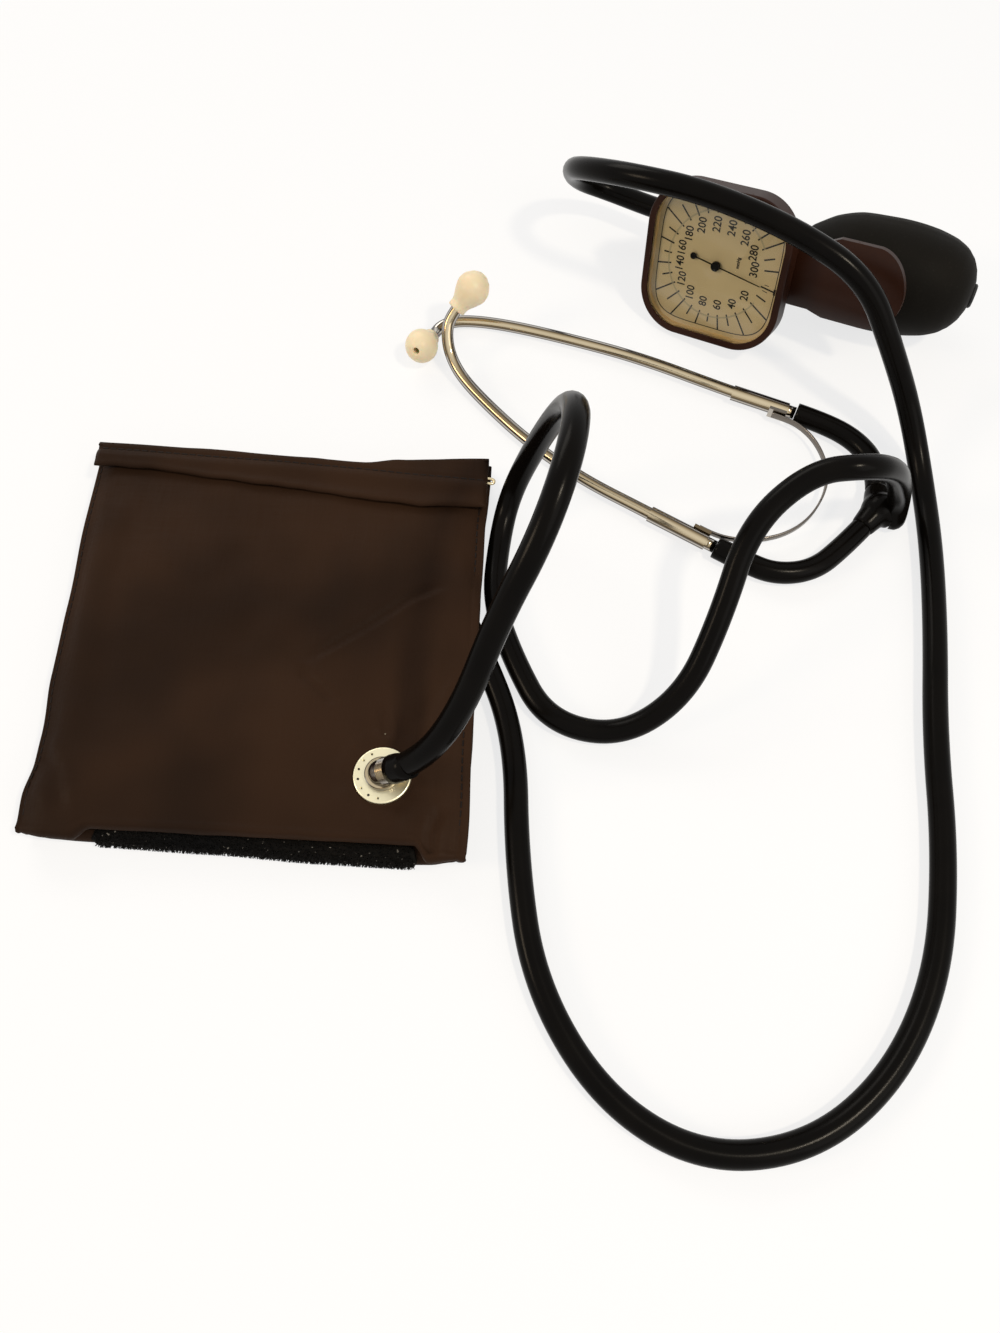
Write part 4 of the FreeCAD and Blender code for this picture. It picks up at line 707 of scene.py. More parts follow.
# %% Relief of the top cloth
creases = (
    (((62, 21.6), (48.6, 14.9), (37, 5.6), (25.5, -2.8), (13, -12)), 1.575, 1.5),
    (((11.9, -13.8), (19.9, -20.5), (27.3, -26.3)), 1.125, 1.7),
    (((43, -27.2), (45.6, -38.5)), 1.35, 1.4),
    (((65.7, -55.6), (62.2, -64), (62.9, -73)), 1.65, 1.6),
    (((-62, 58), (-66, 20), (-63, -20), (-60, -52)), -0.9, 5.0),
    (((-20, 35), (-3, 10), (-14, -12)), 0.525, 6.0),
    (((68, -8), (60, -22), (58, -34)), 0.675, 2.5),
    (((-71, -46), (-64, -52), (-58, -66)), 1.05, 2.6))
crease_lines = [([Vector(point) for point in points], depth, width) for points, depth, width in creases]
swells = (
    ((-38, 18), 30, 1.5), ((8, 22), 15, -0.7), ((-61, -58), 13, 1.2), ((27, -48), 11, -1.0),
    ((-12, -38), 18, 0.8), ((38, 26), 18, 0.8), ((62, -30), 10, 0.6), ((4, -8), 12, -0.6),
    ((30, 36), 20, 0.4), ((-30, -52), 16, 0.4), ((12.8, -13.5), 3.4, -0.35))
ring_mark = Vector((12.8, -13.5))


def relief(x, y):
    """How far the top cloth stands above its flat place, in millimetres."""
    spot = Vector((x, y))
    height = noise.noise(Vector((x / 30, y / 30, 3))) * 0.9
    height += noise.noise(Vector((x / 9, y / 9, 7))) * 0.12
    for middle, reach, lift in swells:
        height += lift * math.exp(-((spot - Vector(middle)).length / reach) ** 2)
    for line, depth, width in crease_lines:
        distance, share = to_polyline(spot, line)
        if abs(distance) > 4 * width or not 0 < share < 1:
            continue
        fade = smooth_step(share, 0.0, 0.15) * (1 - smooth_step(share, 0.8, 1.0))
        valley = math.exp(-(distance / width) ** 2)
        ridge = math.exp(-((distance - 1.7 * width) / width) ** 2)
        height += depth * fade * (0.4 * ridge - valley)
    from_head = (spot - head).length
    around = math.atan2(y - head.y, x - head.x)
    pucker = math.sin(around * 9) * 0.22 + math.sin(around * 5 + 1) * 0.18
    height += pucker * smooth_step(from_head, 9, 12) * (1 - smooth_step(from_head, 14, 26))
    height += 0.35 * smooth_step(from_head, 10, 12.5) * (1 - smooth_step(from_head, 15, 17))
    height += 0.45 * math.exp(-((spot - ring_mark).length - 1.9) ** 2 / 0.3)
    height -= 1.5 * smooth_step(-y, 58, 74) * smooth_step(from_head, 12, 24)
    return height * smooth_step(from_head, 9.5, 12.5)


# %% [markdown]
# The stations walk the sleeve's middle line once, from the lowest layer to the top one. The top layer
# takes the smallest steps, because it alone shows creases. A fold is half a turn between two layers.

# %% Stations along the strip
def flat_stations(start, end, layer, step):
    heading = 1 if end > start else -1
    count = max(round(abs(end - start) / step), 1)
    return [(y, middle_height(layer), 0, -heading, layer) for y in spaced(start, end, count)]


def fold_stations(y, layer, front):
    """Half a turn of cloth, from one layer up to the next."""
    stations = []
    centre = middle_height(layer) + fold_radius
    for k in range(1, 8):
        turn = math.radians(-90 - 180 * k / 8) if front else math.radians(-90 + 180 * k / 8)
        out_y, out_z = math.cos(turn), math.sin(turn)
        inward = -1 if front else 1
        stations.append((y + fold_radius * out_y, centre + fold_radius * out_z,
                         inward * out_y, inward * out_z, layer + k / 8))
    return stations


stations = flat_stations(sleeve_high.y, front_low, 0, 7)
stations += fold_stations(front_low, 0, True)
stations += flat_stations(front_low, back_fold, 1, 5)
stations += fold_stations(back_fold, 1, False)
stations += flat_stations(back_fold, front_high, 2, 5)
stations += fold_stations(front_high, 2, True)
stations += flat_stations(front_high, sleeve_high.y, 3, 1.25)
print("stations along the strip:", len(stations))


# %% [markdown]
# Each station becomes one loop of points: along one face of the cloth from edge to edge, and back
# along the other. The columns stand closer together at the hems, where the thickness changes most,
# and the edges wander a little, as sewn edges do. A skin over all loops is the whole sleeve.

# %% The strip's mesh
def edge_offset(y, layer, side):
    """How far this layer's edge stands out or back: sewn edges are never in line."""
    wave = noise.noise(Vector((y / 24, layer * 5 + side, 2))) * 0.6
    shift = -along(left_inset, y) if side < 0 else along(right_outset, y)
    return wave - 0.45 * (3 - layer) * (0.6 if side > 0 else 0.2) + shift


def strip_edges(y, layer):
    """Left and right edge of a layer at y."""
    return (sleeve_low.x + 0.4 - edge_offset(y, layer, -1),
            sleeve_high.x - 0.4 + edge_offset(y, layer, 1))


def edge_droop(edge, layer):
    """How far the thin edge of a layer hangs down."""
    return 0.45 * layer * (1 - smooth_step(edge, 0, 11)) ** 2


def rounded(distance, reach):
    """Rise of a quarter circle: 0 at an edge, 1 at reach and beyond."""
    return math.sqrt(max(1 - (1 - min(distance, reach) / reach) ** 2, 0.0))


def half_thickness(edge, hem):
    body = 0.40 + 0.60 * smooth_step(edge, hem + 0.8, hem + 8)
    groove = 0.22 * math.exp(-((edge - hem) / 0.55) ** 2)
    return strip / 2 * (body - groove) * rounded(edge, 0.7)


def columns(left, right):
    """Places across the strip, closer together at its hems."""
    near = [0, 0.12, 0.35, 0.7, 1.1, 1.6, 2.1, 2.6, 3.0, 3.5, 4.2, 5.2, 6.6, 8.2]
    middle = spaced(left + near[-1], right - near[-1], 92)[1:-1]
    return [left + n for n in near] + middle + [right - n for n in reversed(near)]


def lap(x):
    """1 beside the tape, where the upper fold hangs over the lower one; 0 along the tape."""
    return smooth_step(x, tape_high.x - 1, tape_high.x + 4) + 1 - smooth_step(x, tape_low.x - 5, tape_low.x)


def strip_ring(station):
    y, z, across_y, across_z, layer = station
    left, right = strip_edges(y, layer)
    first, second = [], []
    for x in columns(left, right):
        is_left = x < (left + right) / 2
        edge = x - left if is_left else right - x
        half = half_thickness(edge, hem_left if is_left else hem_right)
        middle = z - edge_droop(edge, layer)
        if layer in (0, 1, 2, 3):
            pressed = parting(x, y)
            middle += (parted_middles[layer] - middle) * pressed
            half += (min(half, parted_half) - half) * pressed
        lift = relief(x, y) * smooth_step(edge, 0, 6) if layer == 3 else 0
        crowd = 0.3 * noise.noise(Vector((x / 12, y / 12, layer * 3))) * smooth_step(edge, 0, 6)
        bulge = crowd if layer not in (0, 1, 2, 3) else 0
        top = middle - across_z * half + lift
        over = lap(x) if layer > 1.01 else 0
        bulge_share = 0.2 + 0.8 * over if layer > 1.01 else 1
        at_y = y - (along(front_bulge, x) * bulge_share + 3.4 * over) * smooth_step(-y, 30, 70)
        if layer == 3:
            at_y = min(at_y, along(back_edge, x) - 1.2)
        first.append(Vector((x, at_y + across_y * half, middle + across_z * half)))
        second.append(Vector((x, at_y - across_y * (half + bulge), top)))
    return first + second[::-1]


cuff = skinned("cuff_cloth", [strip_ring(station) for station in stations], CLOTH, close_ends=False)


def cap_strip(piece):
    """Close the two open ends of a strip."""
    form = bmesh.new()
    form.from_mesh(piece.data)
    bmesh.ops.holes_fill(form, edges=[edge for edge in form.edges if edge.is_boundary])
    bmesh.ops.recalc_face_normals(form, faces=form.faces)
    form.to_mesh(piece.data)
    form.free()


cap_strip(cuff)
finished(cuff, "root", "cuff_sleeve", slot="cuff_cloth")
print("cuff faces:", len(cuff.data.polygons))

# %% [markdown]
# ## Rows of stitches
# A stitch is a tiny rod of thread, and a seam repeats it hundreds of times. Geometry Nodes do that
# well: the seam's line is resampled at the stitch pitch, a rod is set at each point along the
# line's direction, and the instances are made real before the result becomes a plain mesh.


# %% Stitch rows with Geometry Nodes
def socket_of(tree, name):
    """Identifier of a named input of a node tree."""
    for item in tree.interface.items_tree:
        if item.item_type == "SOCKET" and item.in_out == "INPUT" and item.name == name:
            return item.identifier
    raise KeyError(name)


def new_tree(name, inputs):
    """An empty tree with named inputs; gives the tree and its input sockets."""
    tree = bpy.data.node_groups.new(name, "GeometryNodeTree")
    tree.interface.new_socket("Geometry", in_out="INPUT", socket_type="NodeSocketGeometry")
    for label, kind in inputs.items():
        tree.interface.new_socket(label, in_out="INPUT", socket_type="NodeSocket" + kind)
    tree.interface.new_socket("Geometry", in_out="OUTPUT", socket_type="NodeSocketGeometry")
    return tree, tree.nodes.new("NodeGroupInput").outputs


def end_tree(tree, given, instances):
    """Make the instances real, give them their material, and end the tree."""
    real = add_node(tree, "GeometryNodeRealizeInstances", {0: instances})
    sockets = {"Geometry": real, "Material": given["Material"]}
    add_node(tree, "NodeGroupOutput", {0: add_node(tree, "GeometryNodeSetMaterial", sockets)})
    return tree


def grown(piece, tree, values):
    """Run a tree on a piece and keep the result as its plain mesh."""
    modifier = piece.modifiers.new("grow", "NODES")
    modifier.node_group = tree
    for name, value in values.items():
        modifier[socket_of(tree, name)] = value
    made = plain_mesh(piece)
    piece.modifiers.remove(modifier)
    piece.data = made


def stitch_tree():
    tree, given = new_tree("stitch_row", {"Pitch": "Float", "Length": "Float", "Thread": "Float",
                                          "Material": "Material"})
    line = add_node(tree, "GeometryNodeMeshToCurve", {"Mesh": given["Geometry"]})
    spaced = add_node(tree, "GeometryNodeResampleCurve", {"Curve": line, "Length": given["Pitch"]},
                      mode="LENGTH")
    rod = add_node(tree, "GeometryNodeMeshCylinder", {
        "Vertices": 6, "Side Segments": 1, "Radius": given["Thread"], "Depth": given["Length"]})
    tangent = add_node(tree, "GeometryNodeInputTangent")
    turn = add_node(tree, "FunctionNodeAlignRotationToVector", {"Vector": tangent}, axis="Z")
    rods = add_node(tree, "GeometryNodeInstanceOnPoints", {
        "Points": spaced, "Instance": rod, "Rotation": turn})
    return end_tree(tree, given, rods)


STITCHES = stitch_tree()
stitch_pitch = 3.0
stitch_length = 2.1
thread_radius = 0.28


def stitch_row(name, line, body):
    """A seam along points in millimetres."""
    mesh = bpy.data.meshes.new(name)
    mesh.from_pydata([tuple(Vector(point) * MM) for point in line],
                     [(k, k + 1) for k in range(len(line) - 1)], [])
    piece = linked(name, mesh)
    grown(piece, STITCHES, {"Pitch": stitch_pitch * MM, "Length": stitch_length * MM,
                            "Thread": thread_radius * MM, "Material": THREAD})
    return finished(piece, body, slot="cuff_cloth")


def hem_line(side, hem):
    """Points along a hem of the top layer."""
    line = []
    for y in spaced(front_high + 1, sleeve_high.y - 1, 59):
        left, right = strip_edges(y, 3)
        x = left + hem if side < 0 else right - hem
        height = middle_height(3) - edge_droop(hem, 3) + half_thickness(hem, hem)
        height += relief(x, y) * smooth_step(hem, 0, 6)
        line.append((x, y, height + thread_radius * 0.3))
    return line


stitch_row("left_hem_stitches", hem_line(-1, hem_left), "root")
stitch_row("right_hem_stitches", hem_line(1, hem_right), "root")

# %% [markdown]
# ## The end flap
# The free end of the sleeve is folded over a wire bar and lies on the top layer. It is a flat
# pocket, deeper at its right end, with a rounded lower fold and one row of stitches that closes the
# pocket. It lifts about its back edge, where a half turn of cloth joins it to the top layer.

# %% Flap
flap_low, flap_high = (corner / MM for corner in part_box("bar_flap"))
flap_edge = [Vector(p) for p in ((-76, 64.6), (-54, 64.2), (-34.4, 61.6), (4, 57.6), (30.7, 54.2),
                                 (49.5, 52.6), (73, 52.9))]
flap_stitch = [Vector(p) for p in ((-71.9, 72.2), (-36.1, 70.6), (2.4, 68.8), (40.7, 66.2),
                                   (70.3, 64.4))]
flap_back_y = 76.0
flap_half = 1.3
flap_over = 1.7            # how far the cloth reaches past the stiff part of the flap


def height_at(line, x):
    """The y of a line of points at x."""
    for a, b in zip(line, line[1:]):
        if x <= b.x:
            return a.y + (b.y - a.y) * (max(x, a.x) - a.x) / (b.x - a.x)
    return line[-1].y


def flap_top(x, y):
    """Height of the flap's upper face."""
    seam = height_at(flap_stitch, x)
    pocket = 1.1 * math.exp(-((y - (seam - 3.2)) / 3.0) ** 2)
    groove = 0.6 * math.exp(-((y - seam) / 0.8) ** 2)
    sway = 0.35 * noise.noise(Vector((x / 18, y / 30, 11)))
    return flap_high.z - 0.35 + pocket - groove + sway


def flap_ring(x, end_share):
    """One loop round the flap at x, from the back over the top to the lower fold and back."""
    low_y = height_at(flap_edge, x) + 0.5 * noise.noise(Vector((x / 9, 0, 5)))
    back = along(back_edge, x) - 0.6
    under = flap_low.z + 0.1
    top, bottom = [], []
    count = 26
    for k in range(count + 1):
        share = k / count
        y = back + (low_y - back) * share
        near = min(abs(y - low_y), abs(back - y))
        closing = rounded(near, flap_half)
        ceiling = flap_top(x, y)
        middle = (ceiling + under) / 2
        half = (ceiling - under) / 2 * (0.12 + 0.88 * closing) * end_share
        curl = 0.5 * smooth_step(share, 0.7, 1.0)
        top.append(Vector((x, y, middle + half + curl)))
        bottom.append(Vector((x, y, middle - half + curl)))
    return top + bottom[::-1]


def make_flap():
    left, right = flap_low.x + 0.2, flap_high.x + flap_over
    rings = [flap_ring(x, 0.35 + 0.65 * rounded(min(x - left, right - x), 1.2))
             for x in spaced(left, right, 74)]
    flap = skinned("end_flap_cloth", rings, CLOTH, close_ends=False)
    cap_strip(flap)
    finished(flap, "end_flap", "bar_flap", slot="cuff_cloth")
    line = []
    for x in spaced(-72.5, 71.0, 49):
        y = height_at(flap_stitch, x)
        line.append((x, y, flap_top(x, y) + thread_radius * 0.4))
    stitch_row("flap_stitches", line, "end_flap")


def make_flap_fold():
    """Half a turn of cloth behind the flap."""
    left, right = flap_low.x + 0.2, flap_high.x + flap_over
    centre = (middle_height(3) + (flap_low.z + flap_high.z) / 2) / 2
    outer = (flap_high.z - middle_height(3)) / 2 + 0.2
    rings = []
    for x in spaced(left, right, 60):
        sway = 0.5 * noise.noise(Vector((x / 14, 4, 9)))
        ring = []
        for radius, turns in ((outer, range(0, 9)), (outer - 1.1, range(8, -1, -1))):
            for step in turns:
                turn = math.radians(-90 + 180 * step / 8)
                ring.append(Vector((x, along(back_edge, x) - outer + (radius + sway) * math.cos(turn),
                                    centre + radius * math.sin(turn))))
        rings.append(ring)
    fold = skinned("flap_back_fold", rings, CLOTH)
    hinge = Vector((0, flap_back_y, centre)) * MM
    hinge - Z_AXIS * outer * MM
    hinge + Z_AXIS * outer * MM
    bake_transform(fold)


make_flap()
make_flap_fold()

# %% [markdown]
# ## Hook tape
# The tape on the front fold holds the wound cuff closed. It is a stiff band with rounded corners,
# covered with hundreds of small nylon hooks. The band is swept round the fold, and Geometry Nodes
# scatter short bent bristles over its outer side, each turned at random with a fixed seed.

# %% Hook tape
tape_low_turn = -38.0      # degrees about the fold, from its foremost line
tape_high_turn = 130.0
tape_thickness = 0.9
tape_corner = 4.6
hook_height = 0.9
hook_density = 2.6e6       # per square metre
fold_outside = fold_radius + strip / 2


def tape_place(x, arc, depth):
    """A point of the tape: arc in millimetres from its middle, depth above the cloth."""
    turn = math.radians((tape_low_turn + tape_high_turn) / 2) + arc / fold_outside
    past_top = max(turn - math.pi / 2, 0)
    turn = min(turn, math.pi / 2)
    radius = fold_outside + depth
    return Vector((x, front_low - along(front_bulge, x) - radius * math.cos(turn) + past_top * fold_outside,
                   middle_height(0) + fold_radius + radius * math.sin(turn)))


def tape_reach(x):
    """Half of the tape's width at x, along the arc; the ends are rounded."""
    half_arc = math.radians(tape_high_turn - tape_low_turn) / 2 * fold_outside
    left_over = tape_corner - min(x - tape_low.x, tape_high.x - x, tape_corner)
    short = tape_corner - math.sqrt(tape_corner ** 2 - left_over ** 2)
    return max(half_arc - short + 0.3 * noise.noise(Vector((x / 10, 0, 1))), 0.3)


def make_tape():
    rings = []
    for x in spaced(tape_low.x, tape_high.x, 90):
        reach = tape_reach(x)
        outer = [tape_place(x, reach * (k2 / 5 - 1), tape_thickness) for k2 in range(11)]
        inner = [tape_place(x, reach * (k2 / 5 - 1), 0.02) for k2 in range(10, -1, -1)]
        rings.append(outer + inner)
    finished(skinned("hook_tape", rings, TAPE), "root", "hook_strip", slot="hook_tape")


def bristle_tree():
    tree, given = new_tree("bristles", {"Density": "Float", "Height": "Float", "Seed": "Int",
                                        "Material": "Material"})
    dots = add_node(tree, "GeometryNodeDistributePointsOnFaces", {
        "Mesh": given["Geometry"], "Density": given["Density"], "Seed": given["Seed"]})
    hook = add_node(tree, "GeometryNodeMeshCone", {
        "Vertices": 5, "Side Segments": 3, "Radius Top": 0.00008, "Radius Bottom": 0.00016,
        "Depth": given["Height"]})
    lean = add_node(tree, "FunctionNodeRandomValue", {
        "Min": (-0.55, -0.55, -3.1), "Max": (0.55, 0.55, 3.1)}, data_type="FLOAT_VECTOR")
    tilt = add_node(tree, "FunctionNodeRotateRotation", {
        "Rotation": dots.node.outputs["Rotation"], "Rotate By": lean}, rotation_space="LOCAL")
    hooks = add_node(tree, "GeometryNodeInstanceOnPoints", {
        "Points": dots, "Instance": hook, "Rotation": tilt})
    return end_tree(tree, given, hooks)


def outer_patch(name):
    """The outer side of the tape as a mesh of its own, for the bristles to stand on."""
    rows = []
    for x in spaced(tape_low.x + 1, tape_high.x - 1, 60):
        reach = tape_reach(x) - 0.4
        rows.append([tape_place(x, reach * (k / 4 - 1), tape_thickness - 0.05) for k in range(9)])
    points, faces = sheet(rows)
    mesh = bpy.data.meshes.new(name)
    mesh.from_pydata([tuple(point * MM) for point in points], [], faces)
    return linked(name, mesh)


make_tape()
hooks = outer_patch("tape_hooks")
centre_of_fold = Vector((0, front_low, middle_height(0) + fold_radius)) * MM
first_face = hooks.data.polygons[0]
if first_face.normal.dot(first_face.center - centre_of_fold) < 0:
    hooks.data.flip_normals()
grown(hooks, bristle_tree(), {"Density": hook_density, "Height": hook_height * MM, "Seed": 4,
                              "Material": BRISTLE})
finished(hooks, "root", slot="hook_tape")
print("hook faces:", len(hooks.data.polygons))

# %% [markdown]
# ## The wire bar
# The bar in the flap's hem is a bent wire. Only its end shows, a small bright loop beside the cloth.


# %% Metals
def metal(name, colour, roughness, grain=0.0, **fixed):
    finish = Finish(name, colour, roughness, 1.0, **fixed)
    cloud = finish.noise(4, 3)
    finish.feed("Roughness", cloud * 0.12 + (roughness - 0.06))
    if grain:
        finish.bump(finish.noise(0.4, 3), grain)
    return finish.material


def chrome(name):
    """Bent chrome tube: its base colour is a painted reflection of a dim warm room,
    a bright core with darker bands beside it.
    """
    finish = Finish(name, (0.5, 0.46, 0.38), 0.16, 1.0)
    # Painted reflection: the base colour is banded by how squarely the surface faces the camera.
    facing = finish.node("ShaderNodeLayerWeight", sockets={"Blend": 0.5}, output="Facing")
    stops = ((0.0, (0.62, 0.52, 0.35)), (0.10, (0.28, 0.21, 0.12)), (0.21, (0.045, 0.032, 0.02)),
             (0.40, (0.60, 0.56, 0.50)), (0.55, (0.10, 0.09, 0.085)), (0.85, (0.03, 0.027, 0.025)))
    painted_reflection_bands = finish.node("ShaderNodeValToRGB", {"stops": stops}, {0: facing})
    finish.feed("Base Color", painted_reflection_bands)
    finish.feed("Roughness", 0.10 + finish.noise(9, 2) * 0.06)
    return finish.material


CHROME = chrome("chrome")
SPRING = metal("spring_steel", (0.17, 0.15, 0.13), 0.28)
BRASS = metal("plated_brass", (0.62, 0.52, 0.30), 0.24)
WIRE = metal("bar_wire", (0.66, 0.56, 0.36), 0.25)
CAST = metal("cast_metal", (0.74, 0.68, 0.47), 0.34, grain=0.02)
STEEL = metal("screw_steel", (0.55, 0.54, 0.52), 0.3)
MOVEMENT = metal("movement_brass", (0.70, 0.52, 0.22), 0.3)
BRONZE = metal("capsule_bronze", (0.55, 0.34, 0.16), 0.3)

wire_radius = 0.55
bar_route = (
    (-70, 68.8, 15.4), (-20, 66.9, 15.4), (40, 64.9, 15.4), (73.5, 63.9, 15.2), (75.6, 63.8, 15.0),
    (76.5, 64.6, 15.0), (76.1, 65.7, 15.1), (74, 66.0, 15.3), (64, 66.3, 15.4))
bar = tube("bar_wire", smooth_line(bar_route), wire_radius, WIRE, 12)
finished(bar, "end_flap", "metal_bar", slot="bar_wire")

# %% [markdown]
# ## Ear tubes, tips and spring
# The two ear tubes are bent chromed tubes that leave the short hoses, run side by side and turn up
# into the ear tips. The tips are soft ivory plastic with a hole, turned on a lathe here. A flat steel
# spring joins the tubes through two sheet clips; it opens when they are spread, and it is made as
# two halves.

# %% Ear tubes
tip_length = 17.0
tip_base = 3.5
tip_grip = 6.0
tube_radius = 2.4
tips = (          # the middle of each tip, and its axis
    (Vector((43.5, 134.5, 8.8)), Vector((-0.25, -0.84, 0.48)).normalized()),
    (Vector((62.6, 146.8, 26.0)), Vector((0.64, 0.48, 0.60)).normalized()))
tube_routes = (
    [(195.5, 110.4, 4.4), (170, 120, 4.4), (133.5, 136, 4), (100, 146, 3.6), (74.4, 152.2, 3.2),
     (57.5, 153.6, 3), (49.6, 150.2, 3.2)],
    [(160.8, 46.7, 4.4), (134, 61.6, 4.4), (110, 75.2, 4), (88, 92.5, 3.5), (71, 109.8, 3.5),
     (60, 122, 4.8), (54.8, 130.2, 8.6), (53.4, 136.2, 14.4)])


def ear_tube(number, route, middle, axis):
    base = middle - axis * tip_length / 2
    whole = route + [tuple(base - axis * tip_base), tuple(base + axis * tip_grip)]
    line = smooth_line(whole)
    piece = tube(f"ear_tube_{number}_chrome", line, tube_radius, CHROME, 28)
    return finished(piece, f"ear_arm_{number}", f"ear_tube_{number}", slot="bright_chrome")


for number, (route, tip) in enumerate(zip(tube_routes, tips), 1):
    ear_tube(number, route, *tip)


# %% [markdown]
# A tip is a shell turned about its axis, with an eased outline outside. Inside are a seat for the
# tube and a narrower hole for the sound. The plastic lets a little light in, so it has subsurface.

# %% Ear tips
def ivory():
    finish = Finish("ivory_plastic", (0.80, 0.70, 0.48), 0.35, Specular_IOR_Level=0.3,
                    Subsurface_Weight=0.25, Subsurface_Scale=0.002)
    cloud = finish.noise(9, 3)
    depth = finish.noise(3, 2)
    finish.feed("Base Color", finish.mix(cloud * 0.7 + depth * 0.3, (0.92, 0.82, 0.60), (0.74, 0.62, 0.40)))
    finish.feed("Roughness", 0.28 + cloud * 0.15)
    return finish.material


IVORY = ivory()
tip_shares = ((0, 3.8), (0.16, 3.9), (0.34, 5.36), (0.55, 6.7), (0.75, 6.23), (0.92, 4.15), (1, 2.0))


def eased(points, places):
    """Radii at many places, smoothly between few points (Catmull-Rom)."""
    out = []
    for place in places:
        index = max(k for k in range(len(points) - 1) if points[k][0] <= place or k == 0)
        before = points[max(index - 1, 0)][1]
        first, second = points[index][1], points[index + 1][1]
        after = points[min(index + 2, len(points) - 1)][1]
        t = (place - points[index][0]) / (points[index + 1][0] - points[index][0])
        out.append(0.5 * (2 * first + (second - before) * t
                          + (2 * before - 5 * first + 4 * second - after) * t ** 2
                          + (3 * first - before - 3 * second + after) * t ** 3))
    return out


def turned_shell(name, outer, inner, place, material, sides=64):
    """A hollow turned piece: its outer outline, then its inner outline back to the start."""
    rings = []
    for along_x, radius in outer + inner[::-1] + outer[:1]:
        turns = [2 * math.pi * k / sides for k in range(sides)]
        rings.append([Vector((along_x, radius * math.cos(t), radius * math.sin(t))) for t in turns])
    return skinned(name, rings, material, place, close_ends=False)


def ear_tip(number, middle, axis):
    places = spaced(0, 1, 26)
    outer = list(zip([place * tip_length for place in places], eased(tip_shares, places)))
    outer[-1] = (tip_length, 1.75)
    inner = [(0, 2.42), (tip_grip, 2.42), (tip_grip, 1.3), (tip_length - 0.4, 1.3), (tip_length, 1.5)]
    place = along_axis(middle - axis * tip_length / 2, axis)
    piece = turned_shell(f"ear_tip_{number}_ivory", outer, inner, place, IVORY)
    return finished(piece, f"ear_arm_{number}", f"ear_tip_{number}", slot="ear_ivory")


for number, tip in enumerate(tips, 1):
    ear_tip(number, *tip)


# %% [markdown]
# The spring is a thin strip on edge, bent in one arch between the clips. It is swept as two halves.

# %% Leaf spring
def band(name, line, thickness, height, material):
    """A flat strip on edge along a line in metres, with a rounded section."""
    rings = []
    for index, here in enumerate(line):
        side = direction_at(line, index).cross(Z_AXIS).normalized()
        ring = []
        for across, up in ((-0.5, -0.42), (-0.25, -0.5), (0.25, -0.5), (0.5, -0.42),
                           (0.5, 0.42), (0.25, 0.5), (-0.25, 0.5), (-0.5, 0.42)):
            ring.append(here + side * across * thickness * MM + Z_AXIS * up * height * MM)
        rings.append(ring)
    return skinned(name, rings, material, AS_IS)


clip_1 = (Vector((192.6, 111.5, 4.4)), Vector((171.0, 119.6, 4.4)))
clip_2 = (Vector((157.6, 48.5, 4.4)), Vector((136.5, 60.2, 4.4)))
spring_rest = 4.6
spring_grip = 5.25         # how far the spring's end lies along the clip
spring_beside = 4.5        # and how far beside its middle line
spring_thickness, spring_height = 0.8, 2.8


def spring_end(clip, towards):
    """Where the spring's end lies, beside the clip's tab."""
    run = (clip[1] - clip[0]).normalized()
    side = (towards - clip[0]) - run * (towards - clip[0]).dot(run)
    side.normalize()
    spot = clip[0] + run * spring_grip + side * spring_beside
    return (spot.x, spot.y, spring_rest)


spring_points = [(x, y, spring_rest) for x, y in (
    (191.8, 107.0), (197.2, 103.7), (202.4, 97.2), (205.6, 88), (205.9, 78.5), (202.8, 69.2),
    (196.7, 60), (188.4, 53.6), (178.4, 50.4), (169, 49.9), (160.8, 51.7))]
spring_route = ([spring_end(clip_1, Vector(spring_points[0]))] + spring_points
                + [spring_end(clip_2, Vector(spring_points[-1]))])
spring_line = smooth_line(spring_route)
half_way = len(spring_line) // 2
first_half = band("leaf_spring_half_1", spring_line[:half_way + 1], spring_thickness, spring_height,
                  SPRING)
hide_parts("leaf_spring")
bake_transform(first_half)
second_half = band("leaf_spring_half_2", spring_line[half_way:], spring_thickness, spring_height,
                   SPRING)
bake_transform(second_half)

# %% [markdown]
# ## The moulded Y
# The Y is one lump of soft rubber where three hoses meet. Three tubes are joined, and a voxel
# remesh with a little smoothing melts them into one skin with rounded crotches.


# %% Y of the hose
y_lift = 1.7               # its middle is thicker than the hoses, and it rests on the floor too
y_swelling = 1.5           # how much thicker its arms are in the middle
y_ball_radius = 6.6


def make_y():
    hub = y_centre + Vector((0, 0, y_lift))
    form = bmesh.new()
    for end, radius in ((y_stem, 4.6), (y_arms[0], 4.5), (y_arms[1], 4.5)):
        run = [hub.lerp(end, share) * MM for share in spaced(0, 1, 6)]
        points, faces = skin(rings_along(
            run, lambda share: (radius + y_swelling - share * y_swelling) * MM, 24))
        base = [form.verts.new(point) for point in points]
        for face in faces:
            form.faces.new([base[k] for k in face])
    ball = bmesh.ops.create_uvsphere(form, u_segments=24, v_segments=16, radius=y_ball_radius * MM)
    bmesh.ops.translate(form, verts=ball["verts"], vec=hub * MM)
    piece = linked("y_rubber", mesh_of(form, "y_rubber"))
    melt = piece.modifiers.new("melt", "REMESH")
    melt.mode = "VOXEL"
    melt.voxel_size = 0.0005
    ease = piece.modifiers.new("ease", "SMOOTH")
    ease.factor = 0.6
    ease.iterations = 22
    made = plain_mesh(piece)
    piece.modifiers.clear()
    piece.data = made
    made.materials.clear()
    made.materials.append(HOSE)
    made.polygons.foreach_set("use_smooth", [True] * len(made.polygons))
    finished(piece, "root", "y_connector", slot="hose_rubber")


make_y()

# %% [markdown]
# ## Hose end on the head
# The hose is pushed over the head's nipple and is stretched there, so it is a little wider at its
# end, with a rolled lip.

